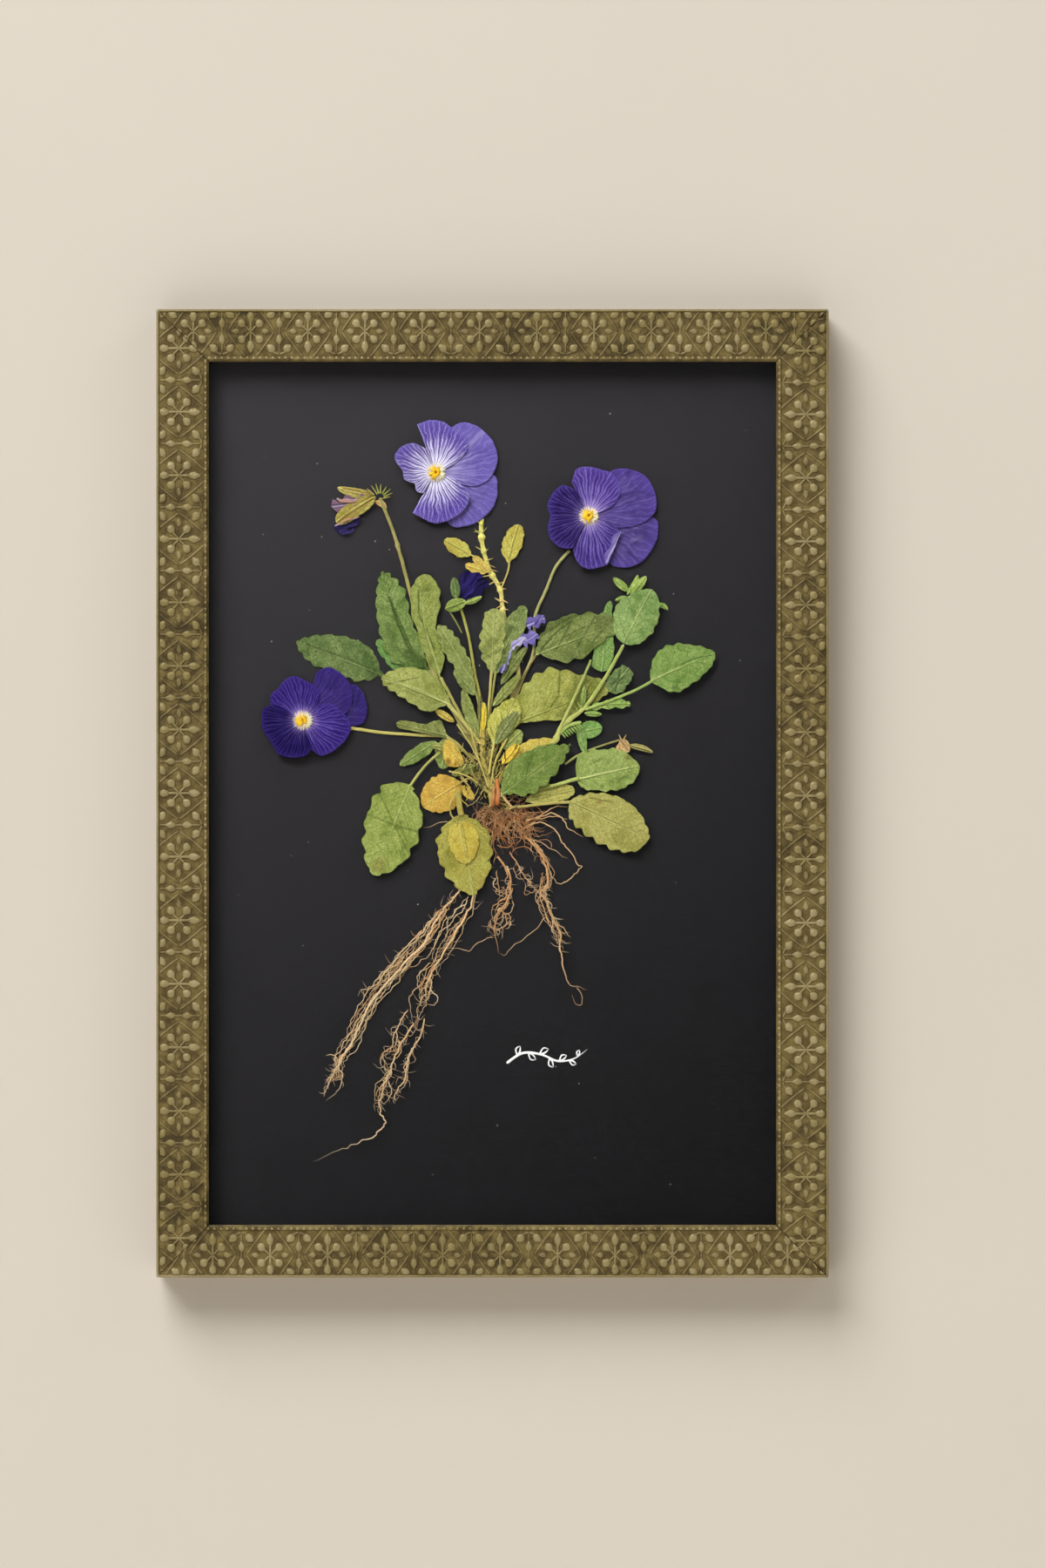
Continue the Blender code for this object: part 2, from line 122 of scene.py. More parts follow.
def srgb(red, green, blue):
    """A colour mixed on the 0 to 255 scale of a paint chart, as the linear light that a shader takes."""
    def linear(level):
        share = level / 255
        return share / 12.92 if share <= 0.04045 else ((share + 0.055) / 1.055) ** 2.4
    return (linear(red), linear(green), linear(blue), 1.0)


def smooth_step(low, high, value):
    share = min(1.0, max(0.0, (value - low) / (high - low)))
    return share * share * (3 - 2 * share)


def curve_value(values, where):
    """A smooth curve through evenly spaced values, read at where, counted in values."""
    index = max(0, min(int(where), len(values) - 2))
    share = where - index
    near = [values[max(0, min(len(values) - 1, index + k))] for k in (-1, 0, 1, 2)]
    rise = near[2] - near[0]
    bow = 2 * near[0] - 5 * near[1] + 4 * near[2] - near[3]
    twist = 3 * near[1] - near[0] - 3 * near[2] + near[3]
    return 0.5 * (2 * near[1] + rise * share + bow * share**2 + twist * share**3)


def route_length(route):
    return sum(math.dist(route[i], route[i + 1]) for i in range(len(route) - 1))


def route_place(route, share):
    where = share * (len(route) - 1)
    return curve_value([p[0] for p in route], where), curve_value([p[1] for p in route], where)


def route_side(route, share):
    """The unit direction across a route, to the left of its run."""
    before = route_place(route, max(0.0, share - 0.01))
    after = route_place(route, min(1.0, share + 0.01))
    du, dv = after[0] - before[0], after[1] - before[1]
    size = math.hypot(du, dv) or 1.0
    return -dv / size, du / size


def line_distance(u, v, points):
    """How far (u, v) is from a line through points, or from the point if there is one."""
    if len(points) == 1:
        return math.hypot(u - points[0][0], v - points[0][1])
    best = 1e9
    for (au, av), (bu, bv) in zip(points, points[1:]):
        du, dv = bu - au, bv - av
        share = ((u - au) * du + (v - av) * dv) / (du * du + dv * dv)
        share = min(1.0, max(0.0, share))
        best = min(best, math.hypot(u - au - du * share, v - av - dv * share))
    return best


def wander(u, v, size, seed):
    """Smooth noise from about -1 to 1 over the card, with features about size across."""
    return noise.noise(Vector((u / size, v / size, seed * 7.31)))


# ---------------------------------------------------------------- meshes


def add_object(name, bm, material):
    """Links a new mesh object that takes bm over and wears one material."""
    mesh = bpy.data.meshes.new(name)
    bm.to_mesh(mesh)
    bm.free()
    mesh.materials.append(material)
    piece = bpy.data.objects.new(name, mesh)
    bpy.context.scene.collection.objects.link(piece)
    return piece


def finish_piece(name, bm, material, slot, nodes=(), thick=0.0):
    """Makes bm a piece of the frame in its finish. A thin sheet gets its thickness behind its face."""
    if not thick:
        bmesh.ops.recalc_face_normals(bm, faces=bm.faces)
    piece = add_object(name, bm, material)
    piece.data.shade_smooth()
    if thick:
        wall = piece.modifiers.new("thickness", "SOLIDIFY")
        wall.thickness = thick * MM
        wall.offset = -1.0
        wall.use_rim = True
    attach(piece, "root")
    if nodes:
        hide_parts(*nodes)


def finish_plant(name, bm, finish, slot, nodes=(), thick=0.0):
    """As finish_piece, for a piece of the plant, after its seams are joined."""
    bmesh.ops.remove_doubles(bm, verts=bm.verts, dist=JOIN)
    finish_piece(name, bm, FINISHES[finish], slot, nodes, thick)


def plant_mesh():
    """An empty mesh with the plant's values on its points: tint is its colour; lie is where it is along and
    across its piece; mark is how dark, pale and brown it is."""
    bm = bmesh.new()
    bm.verts.layers.float_color.new("tint")
    bm.verts.layers.float_vector.new("lie")
    bm.verts.layers.float_vector.new("mark")
    return bm


def add_grid(bm, columns, rows, shape):
    """Adds a grid. For a and b from 0 to 1, shape(a, b) gives each point's place and its values."""
    tint = bm.verts.layers.float_color["tint"]
    lie = bm.verts.layers.float_vector["lie"]
    mark = bm.verts.layers.float_vector["mark"]
    made = bmesh.ops.create_grid(bm, x_segments=columns, y_segments=rows, size=0.5)
    for vert in made["verts"]:
        vert.co, vert[tint], vert[lie], vert[mark] = shape(vert.co.x + 0.5, vert.co.y + 0.5)


def marks_at(u, v, marks):
    """How dark, pale and brown a piece's marks make a point, and how far their lines sink it."""
    values = [0.0, 0.0, 0.0]
    sink = 0.0
    for kind, width, strength, *points in marks:
        ragged = width * (1 + 0.35 * wander(u, v, 2.2, 5.0))
        share = smooth_step(ragged, ragged * 0.25, line_distance(u, v, points)) * strength
        values[kind] = max(values[kind], share)
        if len(points) > 1:
            sink = max(sink, share)
    return values, sink


def leaf_height(lift, crumple, seed, u, v, along, across, share, signed):
    """How far off the card a point of a leaf is, with its ribs, the puffs between them and its waves."""
    rib = math.exp(-(across / 0.45) ** 2) * (1 - 0.6 * share)
    row = along - abs(across) * VEIN_SLANT - across**2 * VEIN_BOW
    vein = 0.5 + 0.5 * math.cos(2 * math.pi * row / VEIN_SPACING)
    puff = 0.07 * (1 - vein**3) * smooth_step(0.2, 1.6, abs(across))
    curl = 0.10 * abs(signed) ** 4 * wander(u, v, 5.0, seed)
    wave = 0.09 * crumple * wander(u, v, 7.0, seed + 2) + 0.035 * crumple * wander(u, v, 2.0, seed + 4)
    return lift + 0.08 * rib + puff + curl + wave


def blade(bm, base, tip, left, right, bend=0.0, teeth=0, tooth=0.0, lift=1.0, colour=(120, 140, 80),
          marks=(), crumple=1.0, seed=1.0):
    """A leaf from base to tip. Left and right of the midrib it has half widths at five places that crowd
    towards the ends, or one full width. Teeth are rounded lobes, and bend bows the midrib to the left."""
    left, right = (even(side) if isinstance(side, (int, float)) else side for side in (left, right))
    du, dv = tip[0] - base[0], tip[1] - base[1]
    length = math.hypot(du, dv)
    run = (du / length, dv / length)
    side = (-run[1], run[0])
    shade = srgb(*colour)
    def half_width(a, signed):
        widths = (0.0, *(left if signed > 0 else right), 0.0)
        toothed = teeth and 0.12 < a < 0.97
        cut = tooth * (1 - abs(math.sin(math.pi * teeth * a))) if toothed else 0.0
        half = max(0.0, curve_value(widths, a * 6) - cut)
        return half * (1 + 0.035 * math.sin(a * 61 + seed * 3 + signed) * smooth_step(0.0, 0.2, a))
    def shape(a, b):
        share = 0.5 - 0.5 * math.cos(math.pi * a)
        signed = 2 * b - 1
        across = signed * half_width(a, signed)
        bow = bend * 4 * share * (1 - share)
        u = base[0] + run[0] * length * share + side[0] * (across + bow)
        v = base[1] + run[1] * length * share + side[1] * (across + bow)
        values, sink = marks_at(u, v, marks)
        along = length * share
        height = leaf_height(lift, crumple, seed, u, v, along, across, share, signed) - 0.16 * sink
        return place(u, v, max(0.2, height)), shade, (along, across, abs(signed)), values
    columns = max(16, min(120, int(length / 0.36)))
    rows = max(8, min(56, 2 * int((max(left) + max(right)) / 0.8)))
    add_grid(bm, columns, rows, shape)


def even(width):
    """Half widths of a plain oval leaf that is this wide."""
    return tuple(width / 2 * share for share in (0.42, 0.88, 1.0, 0.82, 0.46))


def fan(bm, hub, start, end, radii, lift, colour, front=0.5, marks=(), seed=1.0, steps=2.1):
    """A petal as a fan about its flower's hub, from angle start to end in degrees, with these rim radii at
    equal angles. Front is 1 for a lip, 0.5 for a side petal and 0 for a back one."""
    shade = srgb(*colour)
    def shape(a, b):
        degrees = start + (end - start) * b
        turn = math.radians(degrees)
        rim = curve_value(radii, b * (len(radii) - 1))
        rim += 0.28 * noise.noise(Vector((degrees / 5.5, seed * 3.1, 0.0))) * smooth_step(6.0, 12.0, rim)
        reach = rim * a
        u, v = around(hub, reach, turn)
        values, sink = marks_at(u, v, marks)
        ray = noise.noise(Vector((degrees / 4.2, reach / 14.0, seed)))
        pucker = 0.10 * ray * smooth_step(0.1, 0.5, a)
        ruffle = 0.14 * a**3 * wander(u, v, 4.0, seed + 1)
        height = lift + pucker + ruffle + 0.06 * wander(u, v, 9.0, seed) - 0.12 * sink
        return place(u, v, height), shade, (turn, a, reach), (values[DARK], values[PALE], front)
    add_grid(bm, 40, max(24, int((end - start) / steps)), shape)


def rounded(share):
    """How wide a rounded end is at this share of its length, from its tip."""
    return math.sqrt(max(0.0, 1 - max(0.0, 1 - share) ** 2))


def stem(bm, route, start_width, end_width, lift, colour, end_colour=None, flat=0.55, swell=(), wiggle=0.0,
         sides=10, step=0.8, seed=1.0, end_lift=None, ribs=0.07, point=False):
    """A stalk or root: a flattened tube along a smooth curve through its route, closed at both ends."""
    length = route_length(route)
    first = srgb(*colour)
    last = srgb(*(end_colour or colour))
    end_lift = lift if end_lift is None else end_lift
    cap = min(0.45, 0.6 * start_width / length)
    def full_width(a):
        full = start_width + (end_width - start_width) * a
        for where, more, spread in swell:
            full *= 1 + more * math.exp(-(((a - where) * length) / spread) ** 2)
        return full * (1 + 0.07 * wander(a * length, seed, 2.3, seed + 3))
    def sideways(a):
        coarse = wander(a * length, seed * 11.3, 3.2, seed)
        return wiggle * (coarse + 0.45 * wander(a * length, seed, 1.1, seed)) * smooth_step(0.0, 0.06, a)
    def shape(a, b):
        u, v = route_place(route, a)
        across_u, across_v = route_side(route, a)
        full = full_width(a)
        closing = rounded(a / cap) * (min(1.0, (1 - a) / 0.35) ** 0.7 if point else rounded((1 - a) / cap))
        half = full / 2 * closing
        turn = 2 * math.pi * b
        ribbed = 1 + ribs * math.cos(5 * turn)
        out = half * math.cos(turn) * ribbed + sideways(a)
        rise = half * flat * math.sin(turn) * ribbed
        height = max(full * flat / 2 + 0.04, lift + (end_lift - lift) * a)
        mixed = [first[k] + (last[k] - first[k]) * a for k in range(4)]
        return (place(u + across_u * out, v + across_v * out, height + rise), mixed,
                (a * length, b, half), (0.0, 0.0, 0.0))
    add_grid(bm, max(3, int(length / step)), sides, shape)


# ---------------------------------------------------------------- node trees


class Nodes:
    """A node tree, with short ways to add the nodes that the finishes are built from."""

    def __init__(self, tree):
        self.tree = tree

    def add(self, kind, links=(), **settings):
        """Adds a node with these settings, and gives its outputs. Links gives a socket to join, or a value
        to set, for each input."""
        made = self.tree.nodes.new(kind)
        for key, value in settings.items():
            setattr(made, key, value)
        for key, value in dict(links).items():
            self.feed(value, made.inputs[key])
        return made.outputs

    def feed(self, value, socket):
        if isinstance(value, bpy.types.NodeSocket):
            self.tree.links.new(value, socket)
        else:
            socket.default_value = value

    def maths(self, operation, *values):
        return self.add("ShaderNodeMath", enumerate(values), operation=operation)[0]

    def times(self, first, second):
        return self.maths("MULTIPLY", first, second)

    def plus(self, first, second):
        return self.maths("ADD", first, second)

    def minus(self, first, second):
        return self.maths("SUBTRACT", first, second)

    def above(self, first, second):
        return self.maths("GREATER_THAN", first, second)

    def below(self, first, second):
        return self.maths("LESS_THAN", first, second)

    def size(self, value):
        return self.maths("ABSOLUTE", value)

    def spread(self, value, low, high, to_low=0.0, to_high=1.0, kind="SMOOTHSTEP"):
        links = {0: value, 1: low, 2: high, 3: to_low, 4: to_high}
        return self.add("ShaderNodeMapRange", links, interpolation_type=kind)[0]

    def even_spread(self, value, low, high, to_low, to_high):
        return self.spread(value, low, high, to_low, to_high, "LINEAR")

    def mix(self, factor, first, second, how="MIX"):
        links = {0: factor, 6: first, 7: second}
        return self.add("ShaderNodeMix", links, data_type="RGBA", blend_type=how)[2]

    def noise(self, vector, scale, detail=3.0, roughness=0.55, distortion=0.0):
        links = {"Vector": vector, "Scale": scale, "Detail": detail, "Roughness": roughness,
                 "Distortion": distortion}
        return self.add("ShaderNodeTexNoise", links)[0]

    def stretched(self, vector, scale):
        """The vector scaled unevenly, so that a pattern runs along one way."""
        return self.add("ShaderNodeMapping", {0: vector, 3: scale})[0]

    def value_of(self, name, what="Vector"):
        return self.add("ShaderNodeAttribute", attribute_name=name)[what]

    def parts(self, vector):
        return self.add("ShaderNodeSeparateXYZ", {0: vector})

    def group(self, group, **links):
        return self.add("ShaderNodeGroup", links, node_tree=group)


def new_group(name, inputs, outputs):
    """An empty shader group with float inputs, or vector ones where the value is a tuple, and its ends."""
    group = bpy.data.node_groups.new(name, "ShaderNodeTree")
    for key, value in inputs.items():
        kind = "NodeSocketVector" if isinstance(value, tuple) else "NodeSocketFloat"
        group.interface.new_socket(key, in_out="INPUT", socket_type=kind).default_value = value
    for key in outputs:
        group.interface.new_socket(key, in_out="OUTPUT", socket_type="NodeSocketFloat")
    entry = group.nodes.new("NodeGroupInput").outputs
    leaving = group.nodes.new("NodeGroupOutput").inputs
    return Nodes(group), entry, leaving


# ---------------------------------------------------------------- shared effects


def make_mottle():
    """Uneven colour in two sizes: soft clouds and fine grains."""
    n, given, out = new_group("mottle", {"Place": (0.0, 0.0, 0.0), "Cloud": 150.0, "Grain": 1500.0},
                              ("Clouds", "Grains"))
    clouds = n.noise(given["Place"], given["Cloud"], 4.0, 0.6, 0.4)
    grains = n.noise(given["Place"], given["Grain"], 3.0, 0.7)
    n.feed(n.spread(clouds, 0.32, 0.68), out["Clouds"])
    n.feed(n.spread(grains, 0.3, 0.7), out["Grains"])
    return n.tree


def make_leaf_veins():
    """A leaf's midrib, side veins and net, from where a point lies along and across the leaf."""
    inputs = {"Lie": (0.0, 0.0, 0.0), "Place": (0.0, 0.0, 0.0), "Spacing": VEIN_SPACING}
    n, given, out = new_group("leaf_veins", inputs, ("Rib", "Side", "Net"))
    along, aside, edge = n.parts(given["Lie"])
    wobble = n.minus(n.noise(given["Place"], 260.0, 2.0), 0.5)
    across = n.size(aside)
    right = n.below(aside, 0.0)
    bow = n.times(n.maths("POWER", across, 2.0), VEIN_BOW)
    front = n.minus(n.minus(along, n.times(across, VEIN_SLANT)), bow)
    front = n.plus(front, n.times(wobble, 2.6))
    turn = n.plus(n.maths("DIVIDE", front, given["Spacing"]), n.times(right, 0.42))
    off = n.size(n.minus(n.maths("FRACT", turn), 0.5))
    width = n.even_spread(edge, 0.0, 1.0, 0.055, 0.022)
    n.feed(n.times(n.spread(off, 0.0, width, 1.0, 0.0), n.spread(edge, 0.75, 1.0, 1.0, 0.25)), out["Side"])
    rib_width = n.even_spread(along, 0.0, 38.0, 0.58, 0.20)
    shifted = n.size(n.plus(aside, n.times(wobble, 0.5)))
    n.feed(n.spread(shifted, 0.0, rib_width, 1.0, 0.0), out["Rib"])
    links = {"Vector": given["Place"], "Scale": 750.0}
    cells = n.add("ShaderNodeTexVoronoi", links, feature="DISTANCE_TO_EDGE")
    n.feed(n.spread(cells[0], 0.0, 0.13, 1.0, 0.0), out["Net"])
    return n.tree


# for each order of a petal's veins: how many times as many lines as the first has, their shift, where on the
# way to the rim they begin, are full, fade and end, and their width
VEIN_ORDERS = (
    (1.0, 0.0, 0.05, 0.14, 0.80, 0.98, 0.20),
    (2.0, 0.27, 0.26, 0.42, 0.90, 1.02, 0.24),
    (4.0, 0.61, 0.56, 0.74, 0.97, 1.06, 0.30),
)


def make_petal_veins():
    """A petal's veins as fine lines out from the hub, which fork twice on their way to the rim."""
    inputs = {"Lie": (0.0, 0.0, 0.0), "Place": (0.0, 0.0, 0.0), "Lines": 8.5}
    n, given, out = new_group("petal_veins", inputs, ("Veins", "Streaks"))
    angle, way = n.parts(given["Lie"])[:2]
    wobble = n.minus(n.noise(given["Place"], 170.0, 3.0, 0.5), 0.5)
    ray = n.add("ShaderNodeCombineXYZ", {0: angle, 1: n.times(way, 0.10)})[0]
    n.feed(n.spread(n.noise(ray, 26.0, 4.0, 0.7), 0.3, 0.7), out["Streaks"])
    total = None
    for times, shift, near, full, far, gone, width in VEIN_ORDERS:
        turn = n.plus(n.times(angle, n.times(given["Lines"], times)), shift)
        turn = n.plus(turn, n.times(wobble, 1.1 * times))
        off = n.size(n.minus(n.maths("FRACT", turn), 0.5))
        shown = n.times(n.spread(way, near, full), n.spread(way, far, gone, 1, 0))
        line = n.times(n.spread(off, 0.0, width, 1.0, 0.0), shown)
        total = line if total is None else n.maths("MAXIMUM", total, line)
    n.feed(total, out["Veins"])
    return n.tree


MOTTLE = make_mottle()
LEAF_VEINS = make_leaf_veins()
PETAL_VEINS = make_petal_veins()


# ---------------------------------------------------------------- the plant's finishes


class Finish(Nodes):
    """A material being made: a mottle of clouds and grains on its place, and the colour laid so far."""

    def __init__(self, name, cloud=0.0, grain=0.0):
        self.material = bpy.data.materials.new(name)
        self.material.use_nodes = True
        super().__init__(self.material.node_tree)
        self.shader = self.tree.nodes["Principled BSDF"]
        self.colour = None
        if cloud:
            self.place = self.add("ShaderNodeTexCoord")["Object"]
            self.clouds, self.grains = self.group(MOTTLE, Place=self.place, Cloud=cloud, Grain=grain)

    def read_plant(self):
        """Reads the values that the plant's meshes carry on their points."""
        self.tint = self.colour = self.value_of("tint", "Color")
        self.lie = self.value_of("lie")
        self.way = self.parts(self.lie)
        self.marks = self.parts(self.value_of("mark"))

    def tinted(self, colour):
        """The piece's own tint, darkened by a colour."""
        return self.mix(1.0, self.tint, colour, "MULTIPLY")

    def lay(self, mask, colour, strength=None):
        """Lays a colour over what is there, where the mask is."""
        self.colour = self.mix(mask if strength is None else self.times(mask, strength), self.colour, colour)

    def see_through(self, mask, colour=(1.0, 1.0, 1.0, 1.0)):
        """Lets light straight through, tinted by a colour, where the mask is."""
        clear = self.add("ShaderNodeBsdfTransparent", {"Color": colour})[0]
        choice = self.add("ShaderNodeMixShader", {0: mask, 1: self.shader.outputs[0], 2: clear})[0]
        self.feed(choice, self.tree.nodes["Material Output"].inputs["Surface"])

    def finish(self, roughness, relief=None, depth=0.0, **values):
        """Joins the colour, roughness and relief to the shader, and sets its plain values."""
        self.feed(self.colour, self.shader.inputs["Base Color"])
        self.feed(roughness, self.shader.inputs["Roughness"])
        if relief:
            links = {"Height": relief, "Distance": depth * MM, "Strength": 1.0}
            self.feed(self.add("ShaderNodeBump", links)[0], self.shader.inputs["Normal"])
        for key, value in values.items():
            self.feed(value, self.shader.inputs[key.replace("_", " ")])
        return self.material


def leaf_finish(name, vein_pale, bruise, spots):
    """A pressed leaf: its own tint, clouded and bruised, with paler ribs over a fine net, and fine pale
    flecks of painted glint.
    """
    f = Finish(name, 170.0, 1300.0)
    f.read_plant()
    rib, side, net = f.group(LEAF_VEINS, Lie=f.lie, Place=f.place)
    dark, pale, brown = f.marks
    darker = f.tinted(bruise)
    lighter = f.mix(0.34, f.tint, srgb(222, 224, 150))
    f.lay(f.clouds, lighter, 0.6)
    f.lay(f.spread(f.noise(f.place, 110.0, 6.0, 0.72, 0.5), 0.46, 0.70), darker, spots)
    f.lay(f.grains, darker, 0.42)
    # painted highlight: fine pale flecks of lighter tint stand in for glints of light on the dried surface
    f.lay(f.spread(f.noise(f.place, 620.0, 3.0, 0.6), 0.52, 0.72, 0.0, 0.4), lighter)
    f.lay(net, darker, 0.5)
    f.lay(side, darker, 0.85)
    f.lay(rib, srgb(200, 206, 132), vein_pale)
    speckle = f.spread(f.noise(f.place, 1150.0, 2.0, 0.5), 0.58, 0.68, 0.0, 0.85)
    f.lay(speckle, darker, f.clouds)
    f.lay(f.spread(f.parts(f.lie)[2], 0.90, 1.0), darker, 0.3)
    f.lay(dark, f.tinted((0.16, 0.22, 0.10, 1.0)), f.spread(f.grains, 0.0, 1.0, 0.75, 1.0))
    f.lay(pale, f.mix(0.6, f.tint, srgb(220, 220, 150)), 0.5)
    f.lay(brown, srgb(120, 78, 34))
    relief = f.plus(f.times(rib, 1.0), f.times(side, 0.6))
    relief = f.plus(f.plus(relief, f.times(net, -0.25)), f.times(f.grains, 0.25))
    rough = f.even_spread(f.clouds, 0.0, 1.0, 0.62, 0.82)
    return f.finish(rough, relief, 0.36, Specular_IOR_Level=0.06)


def petal_finish(name, vein, rim, halo, halo_reach, lines, depth, streak, lip_halo):
    """A pressed petal: its own tint, darker veins that fork, white streaks round the hub, a yellow eye."""
    f = Finish(name, 210.0, 1700.0)
    f.read_plant()
    way, reach = f.way[1:]
    dark, pale, front = f.marks
    veins, streaks = f.group(PETAL_VEINS, Lie=f.lie, Place=f.place, Lines=lines)
    deep = f.tinted(vein)
    f.lay(streaks, f.mix(0.42, f.tint, srgb(196, 184, 226)), streak)
    f.lay(f.clouds, deep, 0.42)
    f.lay(f.spread(way, 0.72, 1.0, 0.0, 0.5), rim)
    ragged = f.times(f.minus(streaks, 0.5), 0.75)
    white = f.spread(f.times(reach, f.minus(1.0, ragged)), halo_reach, halo_reach * 0.22, 0.0, 1.0)
    white = f.times(white, f.spread(front, 0.0, 0.5, 0.25, 1.0))
    white = f.times(white, f.spread(front, 0.5, 1.0, 1.0, lip_halo))
    f.lay(white, halo, 0.74)
    inked = f.times(veins, f.spread(front, 0.0, 0.5, depth * 0.45, depth))
    f.lay(inked, deep, f.spread(reach, 2.2, 3.8))
    eye_edge = f.plus(reach, f.times(ragged, 3.2))
    f.lay(f.spread(eye_edge, 4.2, 2.9, 0.0, 0.7), srgb(250, 240, 196))
    f.lay(f.spread(eye_edge, 3.4, 2.5), srgb(254, 200, 10))
    f.lay(dark, f.tinted((0.30, 0.26, 0.38, 1.0)))
    f.lay(pale, f.mix(0.55, f.tint, srgb(206, 200, 230)))
    relief = f.plus(veins, f.times(f.grains, 0.35))
    rough = f.even_spread(f.clouds, 0.0, 1.0, 0.55, 0.75)
    return f.finish(rough, relief, 0.09, Specular_IOR_Level=0.03)


def stalk_finish(name, grain, dark, light):
    """A dried stalk or root: its own tint with fibres and stains that run along it."""
    f = Finish(name, 230.0, 1800.0)
    f.read_plant()
    fibres = f.spread(f.noise(f.stretched(f.lie, (0.35, 9.0, 0.0)), grain, 4.0, 0.7), 0.32, 0.68)
    deep = f.tinted(dark)
    f.lay(fibres, deep, 0.55)
    f.lay(f.clouds, f.mix(0.5, f.tint, light), 0.35)
    f.lay(f.grains, deep, 0.25)
    f.lay(f.marks[0], deep)
    relief = f.plus(fibres, f.times(f.grains, 0.4))
    rough = f.even_spread(f.grains, 0.0, 1.0, 0.6, 0.85)
    return f.finish(rough, relief, 0.12, Specular_IOR_Level=0.14)


def white_ink():
    f = Finish("white ink", 500.0, 3000.0)
    f.colour = f.mix(f.clouds, srgb(252, 252, 250), srgb(228, 229, 229))
    return f.finish(f.even_spread(f.grains, 0.0, 1.0, 0.55, 0.75))


FINISHES = {
    GREEN: leaf_finish("pressed leaf, green", 0.20, (0.38, 0.48, 0.27, 1.0), 0.9),
    OLIVE: leaf_finish("pressed leaf, olive", 0.18, (0.42, 0.46, 0.23, 1.0), 0.85),
    YELLOWED: leaf_finish("pressed leaf, yellowed", 0.18, (0.62, 0.46, 0.18, 1.0), 0.7),
    LILAC: petal_finish("pressed petal, lilac", (0.30, 0.20, 0.50, 1.0), srgb(104, 92, 168),
                        srgb(242, 238, 252), 18.0, 4.6, 1.0, 0.24, 0.9),
    VIOLET: petal_finish("pressed petal, violet", (0.20, 0.11, 0.36, 1.0), srgb(84, 64, 150),
                         srgb(196, 174, 228), 8.5, 4.8, 1.0, 0.14, 0.3),
    INDIGO: petal_finish("pressed petal, indigo", (0.18, 0.09, 0.36, 1.0), srgb(54, 36, 112),
                         srgb(178, 152, 214), 8.0, 4.8, 1.0, 0.06, 0.4),
    WITHERED: petal_finish("withered petal", (0.42, 0.26, 0.30, 1.0), srgb(150, 120, 90),
                           srgb(200, 178, 130), 4.0, 7.0, 0.5, 0.24, 1.0),
    "stem": stalk_finish("dried stalk", 1.6, (0.58, 0.54, 0.34, 1.0), srgb(240, 230, 160)),
    "root": stalk_finish("dried root", 2.2, (0.60, 0.46, 0.34, 1.0), srgb(244, 218, 176)),
    "eye": stalk_finish("flower eye", 2.0, (0.97, 0.88, 0.62, 1.0), srgb(255, 238, 140)),
    "ink": white_ink(),
}


# ---------------------------------------------------------------- leaves

